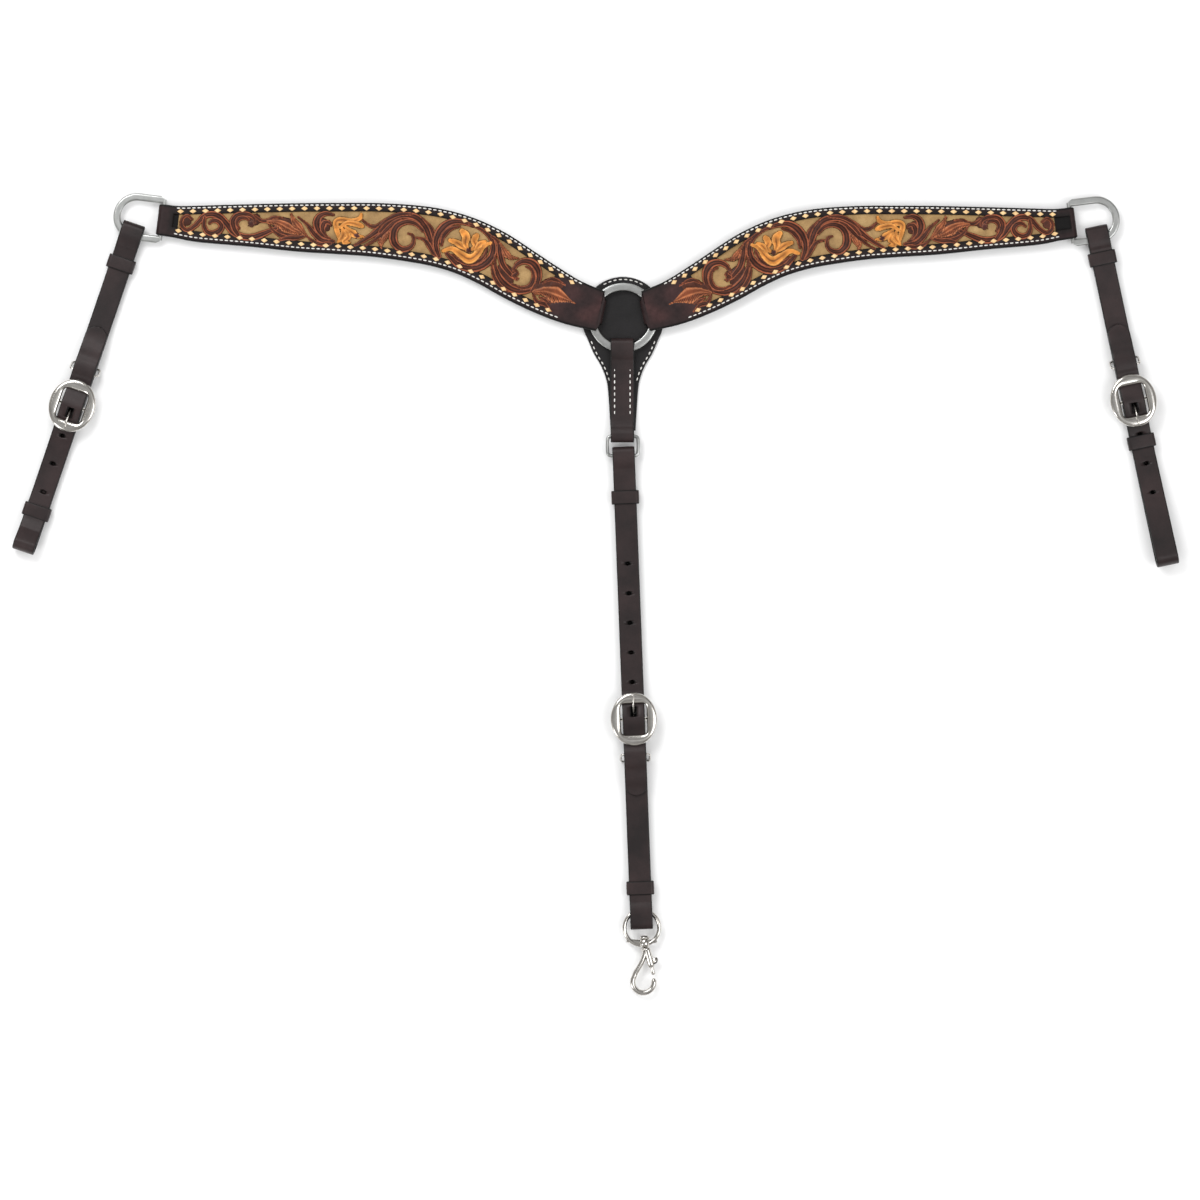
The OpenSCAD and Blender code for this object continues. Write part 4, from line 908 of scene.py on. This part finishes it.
def carve(downLine, offLine, halfAt, strokes):
    # height and colour of the carved face. Each stroke is its own rounded ridge: with d the distance to its
    # line and w its half width, height follows sqrt(1 - (d / w)^2), a painted highlight lies along its rim near d =
    # 0.74 w, dark grooves at 0.36 w and a dark outline beyond 0.8 w
    y = yoke
    edgeIn = halfAt - np.abs(offLine)
    window = np.minimum(halfAt - offLine - y["borderTop"], halfAt + offLine - y["borderBottom"])
    window = np.minimum(window, np.minimum(downLine - y["windowStart"], y["windowEnd"] - downLine))
    height = y["top"] - (y["top"] - y["floor"]) * smoothStep(window, -0.35, 0.35)
    # painted sheen: lighter ripples laid on the plain leather by the ring, away from its edges
    paintedSheenRipple = 0.5 + 0.5 * np.sin(downLine * 0.21 + 1.3 * np.sin(offLine * 0.2))
    dyeAndPaintedLight = np.tile(dyesAndPaintedLight["plain"], (len(downLine), 1)).astype(float)
    dyeAndPaintedLight = paint(dyeAndPaintedLight, 0.75 * paintedSheenRipple * smoothStep(edgeIn, 3, 9) * (downLine < y["windowStart"]), dyesAndPaintedLight["paintedSheen"])
    # the border gets darker towards the window's edge
    dyeAndPaintedLight = paint(dyeAndPaintedLight, smoothStep(-window, 6.5, 0.5) * (downLine > y["windowStart"] - 12), dyesAndPaintedLight["dark"])
    dyeAndPaintedLight = paint(dyeAndPaintedLight, smoothStep(-edgeIn, -2.6, -0.9), dyesAndPaintedLight["edge"])
    for kind, w, line in strokes:
        line, arc = evenly(line, 0.55)
        t = arc / arc[-1]
        widthsAt = [w[0] * 0.75, w[0], w[1], w[2], w[2] * 0.6]
        width = y["carvingWidth"] * np.interp(t, [0, 0.12, 0.5, 0.88, 1], widthsAt)
        near = np.flatnonzero((downLine > line[:, 0].min() - 7) & (downLine < line[:, 0].max() + 7)
                              & (offLine > line[:, 1].min() - 7) & (offLine < line[:, 1].max() + 7))
        if not len(near):
            continue
        gap = np.stack([downLine[near], offLine[near]], 1)[:, None] - line[None]
        d2 = (gap**2).sum(-1)
        k = np.argmin(d2, 1)
        d = np.sqrt(d2[np.arange(len(near)), k])
        way = headings(line)[k]
        off = gap[np.arange(len(near)), k]
        sideOf = np.sign(way[:, 0] * off[:, 1] - way[:, 1] * off[:, 0])
        wide = width[k]
        if kind == "leaf":
            wide = wide * (1 + 0.16 * np.abs(np.sin(arc[k] * 1.15)) * (sideOf > 0))
        g = d / np.maximum(wide, 0.05)
        inside = smoothStep(1.06 - g, 0.0, 0.22)
        base, rim, groove = dyesAndPaintedLight[kind]
        dome = np.sqrt(np.clip(1 - g**2, 0, 1))
        ridge = y["levels"][kind] + y["dome"] * dome
        colour = np.tile(base, (len(near), 1)).astype(float)
        # painted highlight: the rim colour laid in a band near d = 0.74 w
        colour = paint(colour, np.exp(-((g - 0.74) / 0.15)**2) * 0.9, rim)
        if kind in ("vine", "petal"):
            fold = np.exp(-((g - 0.36) / 0.14)**2) * smoothStep(wide, 1.1, 1.8)
            if kind == "petal":
                ends = smoothStep(t[k], 0.15, 0.4) * smoothStep(-t[k], -0.9, -0.7)
                fold = np.exp(-(g / 0.18)**2) * ends * 0.8
            colour = paint(colour, fold, groove)
            ridge = ridge - 0.5 * fold
        if kind == "leaf":
            # the leaf's rib is painted in the rim highlight colour
            rib = np.exp(-(g / 0.10)**2) * 0.8
            vein = np.mod(arc[k] - 1.1 * d * (1 + (sideOf < 0)), 2.3) < 0.75
            vein = vein * (g < 0.82) * (0.35 + 0.65 * (sideOf > 0))
            colour = paint(paint(colour, vein * 0.85, groove), rib, rim)
            ridge = ridge - 0.45 * vein
        colour = paint(colour, smoothStep(g, 0.80, 0.94), groove)
        lower = 0.5 + 0.5 * np.sin(line[k, 0] * 0.35 + line[k, 1] * 0.5)
        colour = colour * (0.78 + 0.4 * lower[:, None])
        if kind == "ground":
            ridge = np.maximum(ridge, height[near])
        height[near] = height[near] * (1 - inside) + ridge * inside
        keep = inside[:, None]
        dyeAndPaintedLight[near] = dyeAndPaintedLight[near] * (1 - keep) + colour * keep
    return height, dyeAndPaintedLight


def foldColumns(start, direction, angles, halfWidths, runTo):
    # columns round a fold about start - direction * 4: outer radius 4, inner radius 2, then the turned end
    hz = strap["hardware"]
    a = np.radians(angles)
    outer = start + np.outer(4 * np.sin(a), direction)
    inner = start + np.outer(2 * np.sin(a), direction)
    outerZ, innerZ = hz + 4 * np.cos(a), hz + 2 * np.cos(a)
    tail = np.linspace(0, -runTo, 14)[1:]
    outer = np.concatenate([outer, start + np.outer(tail, direction)])
    inner = np.concatenate([inner, start + np.outer(tail, direction)])
    outerZ = np.concatenate([outerZ, np.full(len(tail), hz - 4)])
    innerZ = np.concatenate([innerZ, np.full(len(tail), hz - 2)])
    wide = np.concatenate([halfWidths, np.full(len(tail), halfWidths[-1])])
    return outer, inner, outerZ, innerZ, wide


def makeYokeFront(name, sideName, strokes):
    # closed shell over (s, t): carved face above, flesh side below, both ends folded round and turned under
    y = yoke
    line, normal, half, along = yokeLine(sideName)
    mirror = -1.0 if sideName == "left" else 1.0
    inDirection = -np.array([np.cos(np.radians(12)), np.sin(np.radians(12))])
    outDirection = np.array([np.cos(np.radians(7)), np.sin(np.radians(7))])
    startAt = line[0] - inDirection * 4
    endAt = line[-1] - outDirection * 4
    s = np.linspace(4.5, along[-1] - 4.5, y["columns"])
    mid = np.stack([np.interp(s, along, line[:, k]) for k in (0, 1)], 1)
    nrm = np.stack([np.interp(s, along, normal[:, k]) for k in (0, 1)], 1)
    wide = np.interp(s, along, half)
    angles = np.linspace(0, 180, 19)
    narrow = np.interp(angles, [0, 8, 40, 180], [17, 16.6, 11.4, 11.4])
    sOut, sIn, sOutZ, sInZ, sWide = foldColumns(startAt, inDirection, angles, narrow, 27)
    eOut, eIn, eOutZ, eInZ, eWide = foldColumns(endAt, outDirection, angles, np.full(19, 13.2), 20)
    startNormal = np.array([inDirection[1], -inDirection[0]])
    endNormal = np.array([-outDirection[1], outDirection[0]])
    t = np.sin(np.linspace(-1, 1, y["rows"]) * np.pi / 2 * 0.55) / np.sin(np.pi / 2 * 0.55)
    downLine, offLine = np.meshgrid(s, t, indexing="ij")
    halfAt = wide[:, None] * np.ones_like(offLine)
    height, dyeAndPaintedLight = carve(downLine.ravel(), (offLine * halfAt).ravel(), halfAt.ravel(), strokes)
    height = height.reshape(downLine.shape)
    under = np.interp(s, [4.5, 17, 25, along[-1] - 30, along[-1] - 10], [8.7, 8.7, y["under"], y["under"], 8.7])
    centres = np.concatenate([sOut[::-1], mid, eOut])
    centresIn = np.concatenate([sIn[::-1], mid, eIn])
    normals = np.concatenate([np.tile(startNormal, (len(sOut), 1)), nrm, np.tile(endNormal, (len(eOut), 1))])
    widths = np.concatenate([sWide[::-1], wide, eWide])
    foldTops = [np.tile(z[:, None], (1, len(t))) for z in (sOutZ[::-1], eOutZ)]
    topZ = np.concatenate([foldTops[0], height, foldTops[1]])
    lowZ = np.concatenate([sInZ[::-1], under, eInZ])
    roundBy = y["edge"]
    fromEdge = widths[:, None] * (1 - np.abs(t))[None]
    drop = roundBy - np.sqrt(np.maximum(roundBy**2 - np.maximum(roundBy - fromEdge, 0)**2, 0))
    thick = topZ - lowZ[:, None]
    reachIn = np.clip(drop / np.maximum(np.abs(thick), 0.5), 0, 0.5)[..., None]
    across = normals[:, None] * (t[None, :, None] * widths[:, None, None])
    upper = np.concatenate([centres[:, None] + across, topZ[..., None]], -1)
    lowGrid = np.broadcast_to(lowZ[:, None, None], topZ.shape + (1,))
    lower = np.concatenate([centresIn[:, None] + across, lowGrid], -1)
    upper = upper * (1 - reachIn) + lower * reachIn
    ring = np.concatenate([upper, lower[:, ::-6]], 1)
    dyeAndPaintedLightGrid = np.concatenate([np.tile(dyesAndPaintedLight["plain"], (len(sOut), len(t), 1)), dyeAndPaintedLight.reshape(len(s), len(t), 3),
                              np.tile(dyesAndPaintedLight["plain"], (len(eOut), len(t), 1))])
    edgeTone = smoothStep(-fromEdge, -2.2, -0.7)[..., None]
    ends = np.concatenate([np.ones(len(sOut)), np.zeros(len(s)), np.ones(len(eOut))])[:, None, None]
    dyeAndPaintedLightGrid = dyeAndPaintedLightGrid * (1 - edgeTone * ends) + np.asarray(dyesAndPaintedLight["edge"]) * edgeTone * ends
    below = np.tile(dyesAndPaintedLight["edge"], (ring.shape[0], ring.shape[1] - len(t), 1))
    colours = np.concatenate([dyeAndPaintedLightGrid, below], 1).reshape(-1, 3)
    ring = ring * np.array([mirror, 1, 1])
    rows, columns = ring.shape[:2]
    caps = [list(range(columns))[::-1], list(range((rows - 1) * columns, rows * columns))]
    return makeMesh(name, ring.reshape(-1, 3), gridQuads(rows, columns), caps, {"dyeAndPaintedLight": colours})


def makeYokeSheet(name, sideName, first, last, inset, low, high, edge):
    # plain sheet between two distances along the yoke, a slab profile inset from its edge
    line, normal, half, along = yokeLine(sideName)
    mirror = np.array([-1.0 if sideName == "left" else 1.0, 1, 1])
    s = np.linspace(first, last if last > 0 else along[-1] + last, 260)
    mid, nrm = (np.stack([np.interp(s, along, values[:, k]) for k in (0, 1)] + [last], 1)
                for values, last in ((line, np.full(len(s), (low + high) / 2)), (normal, 0 * s)))
    profile = slabProfile(np.interp(s, along, half) - inset, high - low, edge)
    field = {"edge": (np.interp(s, along, half)[:, None] - inset - np.abs(profile[..., 0])).ravel()}
    return sweep(name, mid * mirror, nrm * mirror, np.tile(up, (len(s), 1)), profile, fields=field)


def yokeRow(sideName, edgeSide, inset, first, last):
    # points at a distance inside the top (1) or bottom (-1) edge
    line, normal, half, along = yokeLine(sideName)
    row = line + edgeSide * (half - inset)[:, None] * normal
    row = row[(along > first) & (along < along[-1] - last)]
    return row * np.array([-1.0 if sideName == "left" else 1.0, 1])


leftLine, leftNormal, _, leftAlong = yokeLine("left")
strokes = [(kind, w, strokeOnYoke(throughPoints(points, 14 * len(points)), leftLine, leftNormal, leftAlong))
           for kind, w, points in carving]

for sideName in ("left", "right"):
    y = yoke
    length = yokeLine(sideName)[3][-1]
    stretch = np.array([length / leftAlong[-1], 1.0])
    fitted = [(kind, w, line * stretch) for kind, w, line in strokes]
    body = sideName + "_yoke"
    front = makeYokeFront(body + "_carving", sideName, fitted)
    settle(front, body, [body + "_front"], carvedLeather)
    suede = makeYokeSheet(body + "_suede", sideName, 36, -18, 5.0, 7.2, y["inlay"], 0.3)
    settle(suede, body, [body + "_inlay"], goldSuede)
    lining = makeYokeSheet(body + "_lining", sideName, 38.5, -24, 0.0, y["backing"], 7.1, 1.0)
    settle(lining, body, [body + "_backing"], darkLeather)
    onTop = y["top"] + 0.05
    rows = [rowOf("row", yokeRow(sideName, edgeSide, inset, first, 17), onTop, 1.6, stitchShape, stitchQuads,
                  y["stitchPitch"]) for edgeSide, inset, first in zip((1, -1), y["stitchInset"], (28, 36))]
    settle(joined(body + "_thread", rows), body, [sideName + "_edge_stitching"], whiteThread)
    rows = [rowOf("row", yokeRow(sideName, edgeSide, inset, first, 19), onTop, 3.0, laceShape, laceQuads,
                  y["lacePitch"]) for edgeSide, inset, first in zip((1, -1), y["laceInset"], (36, 44))]
    settle(joined(body + "_lacing", rows), body, [sideName + "_buckstitch"], paleLace)
    dee = frame["nodes"][sideName + "_dee"]
    dee.data.materials.clear()
    dee.data.materials.append(satinSteel)
    print(body, "made")


snap = {
    "eyeRadius": 14.8, "eyeBand": 3.6, "eyeCorner": 1.75, "studX": 2.4, "plateY": -8.6,
    "plateLine": [(-12.9, -2.2), (-6, -3.3), (2.4, -3.9), (8, -3.4), (12.9, -2.4)],  # across, and up from plateY
    "hook": (1.3, -46.3), "hookRadius": 9.1, "hookTurn": (150, 381),
    "shank": [(3.0, -19.5), (1.6, -25), (-1.2, -31.5), (-5.2, -38.2)],
    "barThick": ([0, 0.3, 0.75, 0.94, 0.985, 1], [2.1, 2.3, 2.45, 2.3, 1.8, 0.7]),  # radius by share of length
    "barrelTop": (4.2, -17.6), "tilt": 14.8,
    "thumbRadius": 4.15, "knurl": 0.22, "knurls": 26, "thumbHalf": 1.8,
    "turns": 6.5, "coilRadius": 1.3, "coilFrom": 1.8, "coilLength": 7.4, "coilWire": 0.3,
    # distance along the axis and radius of each turned piece
    "boss": [(0, 2.35), (0, 3.6), (0.5, 4.2), (4.2, 4.4), (5.6, 4.1), (6.3, 3.3), (6.3, 2.35), (0, 2.35)],
    "stud": [(0, 0.05), (0.25, 1.0), (0.05, 1.6), (0.3, 2.8), (1.0, 3.8), (1.9, 4.15), (2.6, 4.1), (3.0, 3.4),
             (3.0, 2.2), (10.6, 2.2), (10.6, 0.05)],
    "barrel": [(1.0, 0.1), (0.3, 1.6), (0.0, 2.4), (0.5, 3.0), (1.6, 3.1), (12.0, 3.1), (14.4, 2.95), (16.1, 2.6),
               (16.4, 2.3), (16.4, 1.9), (1.5, 1.9), (1.5, 0.1)],
    "collar": [(0, 2.4), (0.1, 3.1), (1.0, 3.5), (2.2, 3.2), (3.0, 2.2)],
    "bolt": [(9.6, 0.05), (9.6, 1.6), (9.9, 1.8), (21.9, 1.8), (22.8, 1.5), (23.2, 0.9), (23.3, 0.05)],
}


def atEye(flat):
    # points given about the eye's middle, set at its height
    return np.stack([eyeAt[0] + flat[:, 0], eyeAt[1] + flat[:, 1], np.full(len(flat), eyeAt[2])], 1)


def settleSteel(piece, body, node):
    settle(piece, body, [node], brightSteel)


n = snap
eyeAt = jointPlace("snap_eye_swing")
eye = makeRing("eye_ring", eyeAt, n["eyeRadius"], n["eyeBand"], n["eyeBand"], n["eyeCorner"])
plate = throughPoints([(x, n["plateY"] + y) for x, y in n["plateLine"]], 30)
plateThick = np.interp(np.arange(30), [0, 15, 29], [1.6, 2.2, 1.6])
plateBar = tube("plate", atEye(plate), plateThick, count=16, flat=0.75)
boss = lathe("boss", eyeAt + [n["studX"], n["plateY"] - 1.3, 0], (0, -1, 0), n["boss"])
settleSteel(joined("snap_eye_ring", [eye, plateBar, boss]), "snap_eye", "snap_eye")
stud = lathe("snap_stud_head", eyeAt + [n["studX"], n["plateY"] + 2.0, 0], (0, -1, 0), n["stud"])
settleSteel(stud, "snap_hook", "snap_swivel_stud")

# hook: a curve down to the bend, then an arc round the hook's middle
tilt = np.radians(n["tilt"])
downBarrel = np.array([np.sin(tilt), -np.cos(tilt), 0])
rightOf = np.array([np.cos(tilt), np.sin(tilt), 0])
a = np.radians(np.linspace(*n["hookTurn"], 60))
bend = np.stack([n["hook"][0] + n["hookRadius"] * np.cos(a), n["hook"][1] + n["hookRadius"] * np.sin(a)], 1)
shank = throughPoints(n["shank"] + [tuple(bend[0])], 30)
route, along = evenly(roundCorners(np.concatenate([shank[:-1], bend]), 1), 0.7)
hookBar = tube("bar", atEye(route), np.interp(along / along[-1], *n["barThick"]), count=20)
barrelTop = eyeAt + [n["barrelTop"][0], n["barrelTop"][1], 0]
barrel = lathe("barrel", barrelTop, downBarrel, n["barrel"])
collar = lathe("collar", eyeAt + [n["studX"], -17.3, 0], (0.25, -1, 0), n["collar"])
settleSteel(joined("snap_hook_bar", [hookBar, barrel, collar]), "snap_hook", "snap_hook")

# bolt, and its thumb piece: part of a disc whose radius steps in and out as sign(sin) of the angle
bolt = lathe("bolt", barrelTop, downBarrel, n["bolt"], 24)
a = np.linspace(-0.12 * np.pi, 0.5 * np.pi + 0.12 * np.pi, 60)
knurl = n["thumbRadius"] + n["knurl"] * np.sign(np.sin(a * n["knurls"]))
thumb = np.stack([2.6 + knurl * np.sin(a), 12.1 - 1.2 + knurl * np.cos(a) * 0.9], 1)
thumb = np.concatenate([thumb, [[2.2, 9.2], [2.2, 14.0]]])
thumbFace = barrelTop + np.outer(thumb[:, 0], rightOf) + np.outer(thumb[:, 1], downBarrel)
thumbPoints = np.stack([thumbFace + up * z for z in (-n["thumbHalf"], n["thumbHalf"])])
count = len(thumb)
thumbPiece = makeMesh("thumb", thumbPoints.reshape(-1, 3), gridQuads(2, count),
                      [list(range(count))[::-1], list(range(count, 2 * count))])
settleSteel(joined("snap_bolt_pin", [bolt, thumbPiece]), "snap_bolt", "snap_bolt")

# spring: a helix inside the barrel
turns = np.linspace(0, n["turns"] * 2 * np.pi, 260)
coil = barrelTop + np.outer(n["coilRadius"] * np.cos(turns), rightOf) \
    + np.outer(n["coilRadius"] * np.sin(turns), up) \
    + np.outer(n["coilFrom"] + n["coilLength"] * turns / turns[-1], downBarrel)
spring = tube("snap_coil", coil, n["coilWire"], count=8, hint=downBarrel)
settle(spring, "snap_hook", ["snap_spring"], springSteel)
print("snap made")


stage = {
    "floorHalf": 4.0, "floorTones": [(0.3, (0.90, 0.90, 0.90)), (0.7, (0.93, 0.93, 0.93))],
    "centre": (-19.6, -240.0), "height": 6000.0, "frameWidth": 1020.0, "sensor": 36.0,
    # place, target, size and power of each light
    "lights": {"key": ((-0.9, 1.1, 1.9), (-0.02, -0.2, 0), (1.4, 0.9), 26),
               "fill": ((1.3, -0.6, 1.8), (-0.02, -0.2, 0), (1.0, 1.4), 13),
               "rim": ((-1.5, -1.2, 1.1), (-0.02, -0.3, 0), (0.5, 1.2), 7)},
    # the tone that polished metal mirrors at each height of the sky
    "banks": [(0.0, (0.10, 0.10, 0.10)), (0.28, (0.30, 0.28, 0.26)), (0.45, (0.06, 0.06, 0.065)),
              (0.62, (0.75, 0.74, 0.72)), (0.80, (0.22, 0.21, 0.20)), (0.93, (0.55, 0.55, 0.55)),
              (1.0, (0.62, 0.62, 0.62))],
    "cards": [(0.38, (0.35, 0.34, 0.33)), (0.6, (1.5, 1.5, 1.5))], "skyTone": (0.95, 0.95, 0.95), "sky": 0.85,
}


def areaLight(name, place, target, size, power):
    data = bpy.data.lights.new(name, "AREA")
    data.shape = "RECTANGLE"
    data.size, data.size_y = size
    data.energy = power
    light = bpy.data.objects.new(name, data)
    bpy.context.scene.collection.objects.link(light)
    light.location = place
    light.rotation_mode = "QUATERNION"
    light.rotation_quaternion = (Vector(target) - Vector(place)).to_track_quat("-Z", "Y")
    return light


h = stage["floorHalf"] / mm
corners = np.array([(-h, -h, -0.3), (h, -h, -0.3), (h, h, -0.3), (-h, h, -0.3)])
floor = makeMesh("floor", corners, np.array([[0, 1, 2, 3]]))
floorMaterial, nodes, links = newMaterial("paleFloor")
place = nodes.new("ShaderNodeTexCoord").outputs["Object"]
tone = ramp(nodes, links, noise(nodes, links, place, 6).outputs["Fac"], stage["floorTones"])
links.new(tone, shaderOf(floorMaterial).inputs["Base Color"])
shaderOf(floorMaterial).inputs["Roughness"].default_value = 0.9
floor.data.materials.append(floorMaterial)

for name, values in stage["lights"].items():
    areaLight(name, *values)
world = bpy.data.worlds.new("studio")
world.use_nodes = True
nodes, links = world.node_tree.nodes, world.node_tree.links
direction = nodes.new("ShaderNodeTexCoord").outputs["Generated"]
split = nodes.new("ShaderNodeSeparateXYZ")
links.new(direction, split.inputs[0])
banks = ramp(nodes, links, mappedTo(nodes, links, split.outputs["Z"], 0, 1), stage["banks"])
cards = noise(nodes, links, direction, 2.6, 1, 0.5)
cards = ramp(nodes, links, cards.outputs["Fac"], stage["cards"])
banks = mixed(nodes, links, "MULTIPLY", 0.75, banks, cards)
glossy = nodes.new("ShaderNodeLightPath").outputs["Is Glossy Ray"]
sky = mixed(nodes, links, "MIX", glossy, stage["skyTone"], banks)
links.new(sky, nodes["Background"].inputs["Color"])
nodes["Background"].inputs["Strength"].default_value = stage["sky"]
bpy.context.scene.world = world
bpy.context.scene.view_settings.view_transform = "Standard"

lens = bpy.data.cameras.new("camera")
lens.sensor_width = stage["sensor"]
lens.lens = stage["sensor"] * (stage["height"] - 8) / stage["frameWidth"]
lens.clip_end = 100
camera = bpy.data.objects.new("camera", lens)
bpy.context.scene.collection.objects.link(camera)
camera.location = (stage["centre"][0] * mm, stage["centre"][1] * mm, stage["height"] * mm)
bpy.context.scene.camera = camera

print("scene ready")
